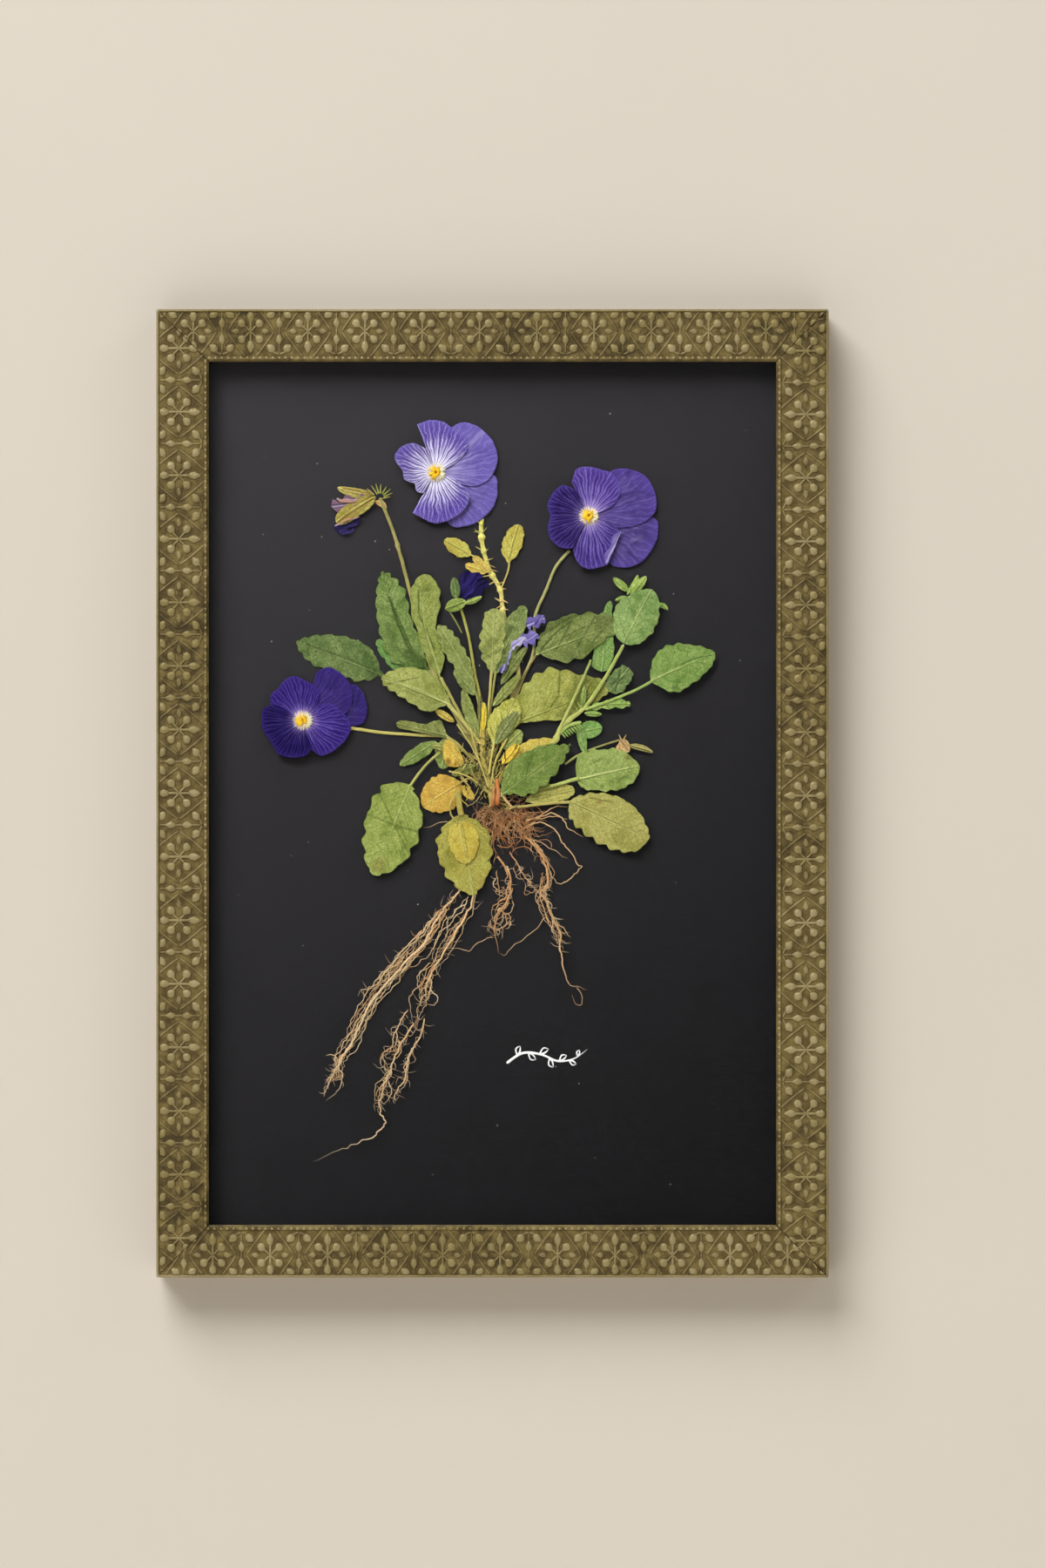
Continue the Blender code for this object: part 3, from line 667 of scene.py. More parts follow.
# for each large leaf, by its node: slot, colour, base, tip, half widths left and right of the midrib, bend,
# teeth, tooth, and its marks, which give their kind, width, strength and the points that they run through
LEAVES = {
    "leaf_left_low": (GREEN, (97, 118, 69), (-45.5, 50), (-84.5, 65.3), (1, 6.4, 7, 7, 3.8),
        (1.5, 9, 10.4, 7.8, 3.4), 0, 10, 1.15, ((DARK, 0.7, 0.5, (-46, 50), (-62, 58), (-80, 64)),
        (DARK, 5, 0.35, (-52, 52)), (DARK, 3, 0.3, (-72, 64)))),
    "leaf_left_tall": (GREEN, (113, 136, 74), (-26.9, 52), (-47.7, 95.5), (4, 10.8, 9.4, 6.6, 3),
        (2, 5, 6.4, 8.2, 4.2), 3.3, 11, 1.25, ((DARK, 0.9, 0.9, (-44.5, 84.5), (-40, 71), (-36, 62),
        (-31, 55)), (DARK, 0.7, 0.8, (-42.6, 80), (-37.5, 68), (-33, 58)), (DARK, 4.5, 0.75, (-36, 60),
        (-29, 54)), (DARK, 0.8, 0.7, (-44.5, 88)), (DARK, 2.5, 0.4, (-45, 72), (-42, 62)),
        (DARK, 0.5, 0.7, (-40, 57), (-33, 52)), (DARK, 0.6, 0.6, (-41, 63), (-36, 55)),
        (PALE, 2.5, 0.25, (-40, 85)))),
    "leaf_left_spoon": (OLIVE, (142, 152, 78), (-21.7, 48.3), (-29.8, 94.4), (1.2, 2.4, 3.4, 5.2, 4.2),
        (1.2, 6.2, 5.7, 8.7, 5.6), 3.9, 6, 0.7, ((DARK, 0.6, 0.75, (-32, 87), (-31.8, 78), (-30, 73),
        (-25, 62)), (PALE, 0.7, 0.6, (-30.5, 84), (-29.5, 72), (-23, 52)), (DARK, 3, 0.25, (-28, 88)))),
    "leaf_left_broad": (OLIVE, (166, 170, 98), (-18.3, 38), (-47.8, 50.2), (1.5, 6.8, 6, 4.6, 3.2),
        (3.4, 8, 9.9, 8.1, 3.6), 0, 9, 0.95, ((PALE, 0.8, 0.6, (-46, 49), (-32, 45), (-19, 38.4)),
        (DARK, 0.5, 0.65, (-45, 47), (-36, 49), (-32, 50)), (DARK, 5.5, 0.32, (-34, 43), (-25, 37)),
        (DARK, 0.5, 0.5, (-38, 44), (-30, 41)))),
    "leaf_centre_left": (OLIVE, (144, 155, 92), (-7.5, 46.8), (-23.4, 72.4), (1, 3.3, 4.4, 4.2, 2.6),
        (1, 3.4, 4.4, 4.2, 2.6), 0, 9, 0.8, ((PALE, 0.5, 0.5, (-8, 47), (-22, 71)),
        (DARK, 3, 0.3, (-12, 56)))),
    "leaf_centre_torn": (OLIVE, (162, 167, 98), (-0.3, 51.4), (0.9, 79.6), (1.6, 5, 6.2, 5.2, 4.2),
        (1.4, 4, 5.2, 5.2, 4.4), 0, 8, 0.9, ((DARK, 3.4, 0.55, (-5, 60), (0, 65.5)),
        (DARK, 1.3, 0.5, (-4, 58), (4, 62)), (DARK, 2, 0.4, (3, 68), (4, 72)), (PALE, 0.5, 0.5, (0, 52),
        (0.6, 77)))),
    "leaf_centre_low": (OLIVE, (198, 194, 100), (0, 21.3), (9.8, 40.8), (2, 5.6, 6.6, 5, 2.6),
        (1.2, 4, 6, 5.6, 3), 0, 6, 0.5, ((PALE, 0.6, 0.6, (0.5, 22), (9, 39)), (DARK, 2.6, 0.25, (3, 28)))),
    "leaf_right_folded": (GREEN, (118, 130, 72), (18.6, 59.5), (54.8, 73.6), (5, 10.8, 11.3, 8.6, 4.8),
        (1.5, 7.4, 8.7, 5.5, 3.6), 0, 7, 1.2, ((DARK, 0.9, 0.8, (21, 68), (32, 75), (44, 80)),
        (DARK, 0.6, 0.8, (21, 62), (28, 70), (34, 74)), (PALE, 0.4, 0.3, (20, 60), (38, 67), (53, 73)),
        (DARK, 5, 0.35, (48, 74)), (DARK, 3.2, 0.45, (22, 70), (34, 77), (46, 80)),
        (DARK, 0.6, 0.6, (36, 62), (44, 76)), (DARK, 0.5, 0.6, (27, 61), (33, 72)),
        (DARK, 0.5, 0.55, (42, 64), (50, 73)), (DARK, 4, 0.3, (34, 60)), (DARK, 0.5, 0.5, (20, 60.5),
        (36, 70), (50, 76)))),
    "leaf_right_round": (GREEN, (138, 164, 100), (56.3, 64.6), (68.6, 87.7), (5.3, 8.4, 10.6, 7.9, 3.8),
        (5, 8.2, 9.2, 7.5, 4.3), 0, 6, 0.6, ((PALE, 0.5, 0.4, (57, 65), (67, 86)),
        (DARK, 3.5, 0.22, (60, 78)), (DARK, 2.5, 0.22, (68, 72)))),
    "leaf_far_right": (GREEN, (123, 152, 78), (68.3, 48.4), (95.7, 60.4), (5.2, 10.4, 10.9, 7.3, 3.2),
        (3.6, 9, 8.6, 6.6, 3.6), 0, 6, 0.5, ((PALE, 0.6, 0.7, (68.5, 48.5), (76, 52.5), (81, 55)),
        (DARK, 0.5, 0.7, (80, 55), (86, 57.6), (94, 59.5)), (DARK, 2.4, 0.6, (79, 45.5)),
        (DARK, 2.8, 0.5, (90, 49)))),
    "leaf_right_big": (OLIVE, (166, 166, 84), (11, 30.6), (50.8, 46.4), (9.5, 15.2, 16.6, 9.8, 4.4),
        (1.5, 3.7, 7.1, 5, 3), 0, 9, 0.6, ((DARK, 0.6, 0.8, (29, 54), (28.5, 42), (25, 37)),
        (DARK, 0.4, 0.6, (25, 41.5), (35, 42)), (DARK, 9.5, 0.62, (42, 45), (38, 41)),
        (DARK, 5, 0.45, (30, 34)), (DARK, 3, 0.5, (28, 38)), (DARK, 3.5, 0.5, (43, 52)),
        (DARK, 0.7, 0.7, (36, 52), (35, 42), (30, 33)), (DARK, 0.6, 0.6, (44, 53), (42, 46)),
        (DARK, 0.5, 0.6, (37, 46), (46, 47)), (PALE, 7, 0.25, (19, 43)), (PALE, 0.6, 0.5, (12, 31),
        (20, 37)))),
    "leaf_low_dark": (GREEN, (113, 134, 62), (4.3, -0.6), (33.6, 21.2), (4.4, 9.3, 9.4, 6.8, 2),
        (1.9, 7.5, 8, 5.6, 2.2), 0, 9, 1.3, ((PALE, 0.5, 0.4, (4.5, -0.4), (20, 10), (32, 20)),
        (DARK, 4, 0.3, (14, 3)), (DARK, 0.5, 0.5, (14, 5.6), (16, 14)), (DARK, 0.5, 0.5, (20, 8.6),
        (27, 8)))),
    "leaf_low_light": (GREEN, (152, 168, 94), (36.3, 5.8), (63.3, 11.8), (9, 11.4, 10.6, 9, 4),
        (4.5, 6.4, 8.2, 7.7, 4.4), 0, 6, 0.6, ((PALE, 0.9, 0.8, (36, 6), (44, 8), (58, 11)),
        (DARK, 1.6, 0.4, (50, 14)), (DARK, 1.4, 0.45, (55, 10)), (DARK, 1, 0.45, (47, 3)),
        (DARK, 1.8, 0.55, (58, 15)), (DARK, 0.8, 0.6, (44, 13), (47, 15)), (DARK, 0.9, 0.6, (54, 5),
        (57, 7)), (BROWN, 3.2, 0.35, (59, 16)), (DARK, 1, 0.4, (52, 5)))),
    "leaf_low_tan": (OLIVE, (176, 168, 96), (33.5, -3.4), (67.6, -19.2), (4.1, 8.7, 10.8, 8.9, 3.8),
        (6.7, 9.9, 11.6, 11.1, 7.6), 0, 9, 1.1, ((PALE, 0.6, 0.5, (34, -4), (50, -12), (66, -18.5)),
        (DARK, 0.6, 0.6, (42, -2), (52, -4)), (BROWN, 1.6, 0.5, (46, -3.6)), (DARK, 4, 0.2, (55, -20)))),
    "leaf_bottom_left": (GREEN, (153, 164, 84), (-35.3, 3.6), (-51.2, -35.3), (4, 10.3, 12.1, 10.4, 5.2),
        (9.5, 13, 12.8, 9.6, 4.8), 0, 7, 1.5, ((DARK, 0.5, 0.6, (-48.7, 0), (-42.5, -13), (-36.5, -25)),
        (DARK, 0.5, 0.6, (-54, -9), (-43, -13.5), (-32.5, -16.5)), (PALE, 0.6, 0.45, (-35.5, 3),
        (-43, -15), (-50.5, -34)), (BROWN, 5, 0.3, (-49, -31)), (DARK, 3, 0.25, (-52, -20)))),
    "leaf_bottom_orange": (YELLOWED, (206, 170, 73), (-13.6, 4.6), (-30.2, -5.6), (3, 7.4, 8, 6.4, 3.2),
        (3, 7.4, 8.4, 7, 3.8), 0, 7, 0.5, ((PALE, 0.6, 0.5, (-14, 4), (-28, -4)),
        (BROWN, 2.6, 0.3, (-20, 6)), (BROWN, 1.6, 0.35, (-26, -1)))),
    "leaf_bottom_broad": (OLIVE, (172, 162, 76), (-13.2, -9), (-8, -44), (4.6, 10.4, 10.7, 8.3, 3.4),
        (7, 12.4, 13, 10.3, 5), 0, 7, 1.3, ((PALE, 0.7, 0.6, (-13, -10), (-8.5, -43)),
        (DARK, 1, 0.6, (-21.5, -23.3)), (DARK, 0.6, 0.5, (-19, -25), (-22, -31.5)),
        (BROWN, 4, 0.25, (-4, -38)), (DARK, 3, 0.3, (-3, -20)))),
    "leaf_bottom_yellow": (YELLOWED, (196, 184, 82), (-14.4, -12), (-11.2, -30.4),
        (4.5, 6.9, 7.2, 5.7, 2.9), (3.7, 5.8, 6.2, 5, 2.9), 0, 6, 0.5, ((PALE, 0.5, 0.6, (-14.4, -12),
        (-11.5, -29)), (DARK, 0.4, 0.5, (-13, -13), (-10.4, -28)), (BROWN, 2, 0.25, (-16, -20)))),
}

# small leaves and sepals: slot, lift, colour, base, tip, width left and right of the midrib, or half widths,
# and where they have them, bend, teeth and tooth
SMALL_LEAVES = {
    "leaf_left_behind": (GREEN, 0.3, (104, 148, 78), (-33, 50), (-50, 66), 9, 9, 0, 5, 0.6),
    "leaf_strap_left": (OLIVE, 1.2, (128, 134, 76), (-18.3, 24.3), (-41.5, 30.2),
        (0.8, 1, 1.4, 1.6, 1.8), (0.8, 5.8, 2.7, 2.3, 1.6)),
    "leaf_strap_lower": (GREEN, 0.9, (124, 142, 76), (-24.3, 22.3), (-40, 12), 6.4, 6.4, 0, 4, 0.4),
    "leaf_slip_left": (OLIVE, 2.9, (134, 146, 86), (-7.1, 42.3), (-16.6, 53.1), 5.5, 5.5, 0, 3, 0.3),
    "leaf_slip_low": (OLIVE, 2.7, (142, 150, 86), (-5.8, 23.6), (-12.7, 44.9), 5.5, 5.5, 0.6, 4, 0.3),
    "leaf_under_yellow": (GREEN, 0.6, (132, 148, 82), (-20.6, 23.5), (-21.5, 10.5), 9, 8, 0, 4, 0.4),
    "leaf_yellow_blotch": (YELLOWED, 1.7, (218, 188, 84), (-20.5, 23), (-13, 12),
        (1.5, 2.6, 2.6, 2.2, 1.4), (1, 3.2, 5, 5.2, 2.6)),
    "leaf_yellow_slip": (YELLOWED, 1.5, (204, 188, 94), (-24.7, 36), (-16.6, 30.8), 3.2, 3.2),
    "leaf_centre_back": (GREEN, 1.6, (128, 142, 86), (0.7, 51.6), (13.8, 80.8), (2.2, 5, 5.6, 4.6, 2.8),
        (2.2, 5, 5.6, 4.6, 2.8), 0, 5, 0.9),
    "leaf_centre_slip": (OLIVE, 2.2, (122, 132, 76), (3.7, 46.8), (14.8, 63), 4.6, 4.6, 0.5, 3, 0.3),
    "leaf_centre_lance": (OLIVE, 2.7, (138, 144, 78), (0.2, 37.6), (12.2, 51.4), 4.6, 4.6, 0, 3, 0.2),
    "leaf_centre_over": (OLIVE, 3.4, (116, 124, 74), (1.5, 21.3), (10.9, 35.2), 6, 6, 0.5, 3, 0.3),
    "leaf_centre_under": (OLIVE, 2.3, (150, 160, 86), (4.9, 19.2), (12.4, 26.9), 8, 8, 0, 4, 0.5),
    "leaf_right_wrinkled": (GREEN, 1.9, (98, 122, 74), (50.5, 43.8), (58.8, 53.9), (3, 4.4, 4.8, 4, 3.4),
        (3, 4.6, 4.6, 4.2, 3.4), 0, 4, 0.8),
    "leaf_bract_upper": (GREEN, 2.2, (150, 178, 94), (40.5, 36.5), (59.5, 38.5), (1, 1.7, 2, 2.2, 1.6),
        (1.2, 1.9, 2.2, 2.3, 1.7), 0.8, 5, 1),
    "leaf_bract_lower": (GREEN, 2.1, (150, 178, 94), (39.5, 34.5), (47, 34), 2.6, 2.6),
    "leaf_right_behind": (GREEN, 1.4, (124, 158, 86), (47, 52.4), (50.8, 83), (4.6, 4.6, 3.6, 3.4, 1.8),
        (3.6, 4.4, 3.6, 2, 1.2), 0, 4, 0.5),
    "leaf_stub": (GREEN, 2.7, (140, 162, 84), (38.6, 36.8), (39.6, 46.2), 2.5, 2.5),
    "leaf_low_yellow": (YELLOWED, 2.2, (206, 190, 94), (9.4, 15.1), (27.2, 22.5),
        (2.4, 4.6, 4.8, 3.6, 2), (1.8, 4, 4.4, 3.6, 2.2), 0, 5, 0.5),
    "leaf_yellow_wedge": (YELLOWED, 3, (232, 198, 66), (4.2, 12.6), (11.2, 21.2), 4.6, 4.2),
    "leaf_crown_scale": (YELLOWED, 3.3, (228, 204, 60), (-3.9, 27), (-3.2, 38.4), 3.2, 2.6, 0.3),
    "leaf_crown_husk": (OLIVE, 3.5, (104, 100, 48), (-5.4, 30), (-5.2, 42), 1.8, 1.6, 0.3),
    "leaf_under_tan": (OLIVE, 1.6, (186, 178, 98), (14.3, -3.4), (35.4, 1.5), (1.8, 4.4, 5, 4.4, 2.6),
        (1.2, 3.4, 3.8, 3.4, 2.4), 0, 5, 0.5),
    "leaf_disc": (GREEN, 1.2, (120, 160, 86), (37.2, 26.2), (47.2, 28.4), 8, 7.4),
    "leaf_disc_tail": (GREEN, 1.5, (124, 160, 86), (37, 29.6), (39.6, 17.4), 4.4, 3.6),
    "leaf_crown_yellow": (YELLOWED, 0.7, (222, 190, 84), (-13.6, 3.2), (-8, -2.6), 4, 4),
    "leaf_stem_left": (YELLOWED, 1, (196, 192, 98), (-9.4, 102.6), (-20.8, 109.2), 7.4, 7.4, 0, 4, 0.5),
    "leaf_stem_right": (YELLOWED, 1, (194, 188, 92), (6.6, 99.2), (11.3, 115.8), (1.4, 4, 4.4, 3.8, 2.2),
        (1.4, 3.4, 4.4, 4, 2.6), 0.4, 5, 0.5),
    "leaf_stem_small": (YELLOWED, 1.3, (218, 196, 96), (-2.6, 95.2), (-11.8, 98.4), 5, 5, 0, 3, 0.5),
    "leaf_stem_cup": (YELLOWED, 1.5, (214, 190, 100), (-1, 95), (-8.6, 102.2), 4, 4.4, 0, 2, 0.4),
    "leaf_crown_left": (OLIVE, 1.5, (150, 152, 80), (-12.5, 19), (-26, 20.5), 5, 5, 0, 3, 0.4),
    "leaf_crown_lower": (OLIVE, 1.3, (140, 146, 74), (-6.5, 12), (-17.5, 8), 4.6, 4.6, 0, 3, 0.3),
    "leaf_crown_right": (OLIVE, 1.1, (160, 160, 84), (3.5, 14), (13, 20.5), 5, 5, 0, 3, 0.4),
    "sepal_right_first": (GREEN, 1.1, (160, 182, 96), (58.6, 87), (52, 92.8), 3.4, 3.4),
    "sepal_right_second": (GREEN, 1.3, (168, 188, 100), (58, 85.6), (62.6, 94), 2.8, 2.8, -0.8),
    "sepal_right_third": (GREEN, 1.6, (172, 190, 104), (60, 85.6), (66.2, 93.4), 3.8, 3.8),
    "sepal_right_small": (GREEN, 1.4, (150, 176, 92), (57.6, 84.8), (52.8, 83), 2, 2),
    "sepal_right_hook": (GREEN, 1.5, (158, 184, 96), (70.8, 81.4), (75.6, 79), 2.2, 2.2, 0.7),
    "bud_sepal_tall": (GREEN, 2.5, (96, 118, 70), (-15.6, 83.6), (-16.6, 93), 4.2, 4.2),
    "bud_sepal_low": (GREEN, 2.7, (142, 160, 78), (-20.4, 79.4), (-11.6, 82.8), (1, 2.4, 2.8, 2.2, 1.2),
        (1, 2.4, 2.8, 2.4, 1.4)),
    "bud_sepal_right": (GREEN, 2.8, (150, 164, 86), (-12.2, 81.8), (-4.6, 84.8), 2.4, 2.4, -0.4),
    "wilted_sepal_top": (OLIVE, 1.4, (182, 164, 92), (-51.5, 128.8), (-66.9, 131.6), 4.4, 4.2, 0.8),
    "wilted_body": (OLIVE, 1.8, (178, 160, 82), (-50.4, 127.6), (-67.4, 116.6),
        (1.6, 3.2, 3.6, 3.4, 2.2), (1.6, 3, 3.4, 3.2, 2.2), -0.6),
    "wilted_sepal_low": (YELLOWED, 1.3, (216, 176, 120), (-50.6, 125.8), (-45.8, 122.6), 3, 2.4, 0.5),
}

# marks of the small leaves, as for the large ones
SMALL_MARKS = {
    "leaf_yellow_blotch": ((BROWN, 2.2, 0.85, (-19, 13.5)), (BROWN, 1.4, 0.6, (-16, 12.6))),
    "leaf_centre_back": ((DARK, 2.6, 0.6, (4, 66), (8, 71)), (DARK, 1.6, 0.5, (5, 61))),
    "leaf_right_wrinkled": ((DARK, 0.7, 0.7, (51, 47), (57, 50)), (DARK, 0.7, 0.7, (53, 44), (55, 53)),
        (DARK, 1.4, 0.5, (53.5, 48))),
    "leaf_under_tan": ((DARK, 0.4, 0.5, (17, -2), (33, 1)), (DARK, 0.4, 0.4, (18, 0), (30, 3))),
    "leaf_low_yellow": ((BROWN, 1.4, 0.4, (22, 19)), (DARK, 0.4, 0.4, (11, 16), (26, 22))),
    "leaf_right_behind": ((PALE, 0.4, 0.5, (47, 53), (48, 62)),),
    "leaf_stem_left": ((DARK, 0.35, 0.5, (-10, 103), (-19, 108)),),
    "leaf_stem_right": ((DARK, 0.35, 0.35, (7, 100), (11, 114)),),
    "wilted_body": ((BROWN, 0.6, 0.7, (-52, 126.6), (-60, 121), (-66, 117)),
        (BROWN, 0.5, 0.6, (-52, 128), (-62, 122.6)), (DARK, 0.5, 0.6, (-54, 124), (-64, 116))),
    "wilted_sepal_top": ((BROWN, 0.5, 0.6, (-53, 129), (-64, 131.4)),),
    "bud_sepal_low": ((DARK, 0.7, 0.6, (-19, 79), (-13, 82)),),
}


def make_leaves():
    """The large leaves, which each stand for a node, and then the small ones."""
    for number, (node, (slot, colour, *form, marks)) in enumerate(LEAVES.items()):
        bm = plant_mesh()
        blade(bm, *form, lift=lift_of(node), colour=colour, marks=marks, seed=number + 1.0)
        finish_plant(f"{node}_blade", bm, slot, slot, [node], thick=0.16)
    for number, (name, (slot, lift, colour, *form)) in enumerate(SMALL_LEAVES.items()):
        bm = plant_mesh()
        blade(bm, *form, lift=lift, colour=colour, marks=SMALL_MARKS.get(name, ()), crumple=1.3,
              seed=number + 31.0)
        finish_plant(name, bm, slot, slot, thick=0.14)


def make_seed_pod():
    """The small split pod at the end of the seed stalk, with its dry wing."""
    bm = plant_mesh()
    marks = ((BROWN, 0.6, 0.7, (55.4, 22.6), (58.2, 18.6)), (DARK, 0.5, 0.5, (56.6, 23), (59.2, 19.6)))
    blade(bm, (55, 23.2), (58.6, 17.8), 4.6, 4.2, lift=1.9, colour=(206, 170, 130), marks=marks, crumple=2.0,
          seed=91.0)
    blade(bm, (58.4, 20.6), (69, 17.6), 2.8, 2.4, 0.5, lift=1.6, colour=(152, 146, 92),
          marks=((DARK, 0.4, 0.6, (59, 20.4), (68, 18)),), crumple=1.5, seed=92.0)
    blade(bm, (54.8, 21.6), (53.6, 16.4), 2.4, 2.4, lift=1.7, colour=(190, 150, 110), crumple=2.0, seed=93.0)
    finish_plant("seed_pod", bm, YELLOWED, YELLOWED, thick=0.14)


# ---------------------------------------------------------------- flowers

# for each flower: its hub and slot, then for each petal the end of its node's name, its angles, rim radii,
# front, colour and marks
FLOWERS = {
    "flower_top": ((-24.5, 138.1), LILAC, (
        ("back_lower", -86, 10, (14, 23.6, 26.3, 27.9, 28.7, 28.8, 27.5, 25, 14), 0, (112, 100, 168),
            ((DARK, 1.2, 0.3, (-10, 124), (-3, 130)),)),
        ("back_upper", -30, 80, (10, 19.4, 24.5, 27.2, 28.1, 27.5, 26.3, 23, 14), 0, (116, 104, 174),
            ((PALE, 1.6, 0.3, (-14, 146), (-3, 157)), (DARK, 0.8, 0.3, (-6, 128), (1, 137)))),
        ("side_upper", 24, 111, (8.5, 17.2, 19.4, 20.2, 21, 22.5, 22.6, 22.3), 0.5, (128, 114, 184), ()),
        ("side_lower", 240, 343, (20, 20.7, 21.9, 21.5, 20.8, 19.6, 16.6, 8), 0.5, (122, 108, 180), ()),
        ("lip", 112, 240, (11, 16.1, 18.4, 18.8, 14.4, 13.7, 10.4, 11.5, 10.5), 1, (118, 102, 172), ()),
    )),
    "flower_right": ((41.5, 119.5), VIOLET, (
        ("back_lower", -74, 8, (15, 24, 27.7, 30, 30.7, 31.1, 30.7, 28.5, 16), 0, (88, 74, 136),
            ((DARK, 1, 0.6, (58, 104), (66, 98)), (DARK, 1.4, 0.5, (66, 111)),
            (DARK, 0.7, 0.6, (60, 107), (66, 111), (70, 109)), (DARK, 0.6, 0.5, (57, 112), (66, 114)),
            (PALE, 1.2, 0.12, (60, 109), (64, 110)))),
        ("back_upper", -22, 76, (14, 22, 28.4, 30, 30.3, 29, 26, 21.4, 12), 0, (88, 72, 140),
            ((DARK, 1.5, 0.6, (58, 137), (61, 142)), (DARK, 1.2, 0.5, (60, 133)),
            (DARK, 0.8, 0.5, (52, 126), (62, 130), (69, 128)), (DARK, 0.6, 0.45, (54, 120), (68, 119)))),
        ("side_upper", 17, 117, (8, 14.3, 18.3, 20.2, 20.8, 20.6, 21.1, 20.8, 16.5), 0.5, (116, 97, 172),
            ()),
        ("side_lower", 243, 338, (15.5, 20.2, 22.8, 22.7, 22.4, 18.8, 16.5, 15.4, 13),
            0.5, (104, 87, 160), ()),
        ("lip", 118, 244, (13, 17.3, 18.1, 18.5, 18.2, 16.6, 18.2, 19.2, 19.1, 18.1, 15.5),
            1, (56, 39, 108), ()),
    )),
    "flower_left": ((-81.8, 31.4), INDIGO, (
        ("back_right", -10, 42, (18, 25.6, 27.3, 28.2, 28.6, 28.7, 28.2, 26.9, 23), 0, (58, 46, 110),
            ((PALE, 0.6, 0.6, (-61.4, 36.5), (-61.2, 44)), (DARK, 1.2, 0.5, (-59, 38), (-57, 44)))),
        ("back_upper", 5, 74, (17, 21, 23.3, 24.8, 25.8, 26.2, 26, 25.3, 21.5), 0, (56, 42, 110), ()),
        ("side_upper", 46, 156, (9.5, 14.3, 16, 17.2, 19.4, 18.8, 17.4, 17.4, 15), 0.5, (72, 54, 136), ()),
        ("side_right", 284, 405, (12, 17.1, 18.4, 19.4, 20.5, 21, 18.9, 16.4, 13.6, 10),
            0.5, (80, 62, 144), ()),
        ("lip", 150, 288, (14, 17.5, 17.6, 17.7, 16.8, 16.9, 17.8, 17.3, 16.2, 15.3, 13), 1, (37, 23, 91),
            ()),
    )),
}


# strands in the eye of a flower: how many its yellow cushion has, how many of those point to the lip, and how
# many white rays and cream hairs lie round it
CUSHION, TO_LIP, RAYS, HAIRS = 30, 18, 19, 60
WHITE, CREAM = (240, 234, 248), (252, 250, 240)


def add_ray(bm, hub, near, far, turn, bow, width, end_width, lift, end_lift, colour, end_colour, flat, sides,
            step, seed):
    """A short pointed strand out from a hub."""
    route = (around(hub, near, turn), around(hub, far, turn + bow))
    stem(bm, route, width, end_width, lift, colour, end_colour, flat, sides=sides, step=step, seed=seed,
         end_lift=end_lift, ribs=0.0, point=True)


def make_throat(flower, hub, slot, lift):
    """The eye of a flower: a yellow cushion, white rays round it, and a tuft of cream hairs on its right."""
    bm = plant_mesh()
    draw = random.Random(flower)
    for ray in range(CUSHION):
        to_lip = ray < TO_LIP
        turn = math.radians(draw.uniform(100, 285) if to_lip else draw.uniform(-75, 100))
        far = draw.uniform(2.4, 3.4) if to_lip else draw.uniform(1.4, 2.2)
        add_ray(bm, hub, 0.4, far, turn, 0.0, 1.15, 0.8, lift + 0.26, lift + 0.16, (255, 190, 0),
                (255, 208, 14), 0.5, 6, 0.5, ray + 1.0)
    for ray in range(RAYS):
        turn = math.radians(72 + ray * 13.4 + draw.uniform(-4, 4))
        far = draw.uniform(3.7, 5.2)
        add_ray(bm, hub, 1.6, far, turn, 0.0, draw.uniform(0.40, 0.62), 0.14, lift + 0.02, lift,
                (250, 246, 232), WHITE, 0.30, 6, 0.5, ray + 5.0)
    for hair in range(HAIRS):
        turn = math.radians(draw.gauss(4, 34))
        near = draw.uniform(1.7, 3.0)
        far = near + draw.uniform(0.9, 2.2)
        add_ray(bm, hub, near, far, turn, draw.uniform(-0.35, 0.35), 0.42, 0.2, lift + 0.1, lift + 0.06,
                (252, 246, 200), CREAM, 0.6, 5, 0.7, hair + 2.0)
    finish_plant(f"{flower}_throat", bm, "eye", slot)


def make_flowers():
    """Each open flower, petal by petal, and its eye."""
    for number, (flower, (hub, slot, petals)) in enumerate(FLOWERS.items()):
        for petal, (name, start, end, radii, front, colour, marks) in enumerate(petals):
            node = f"{flower}_petal_{name}"
            bm = plant_mesh()
            seed = 10 * number + petal + 1.0
            fan(bm, hub, start, end, radii, lift_of(node), colour, front, marks, seed)
            finish_plant(f"{node}_blade", bm, slot, slot, [node], thick=0.1)
        make_throat(flower, hub, slot, lift_of(f"{flower}_petal_lip") + 0.12)


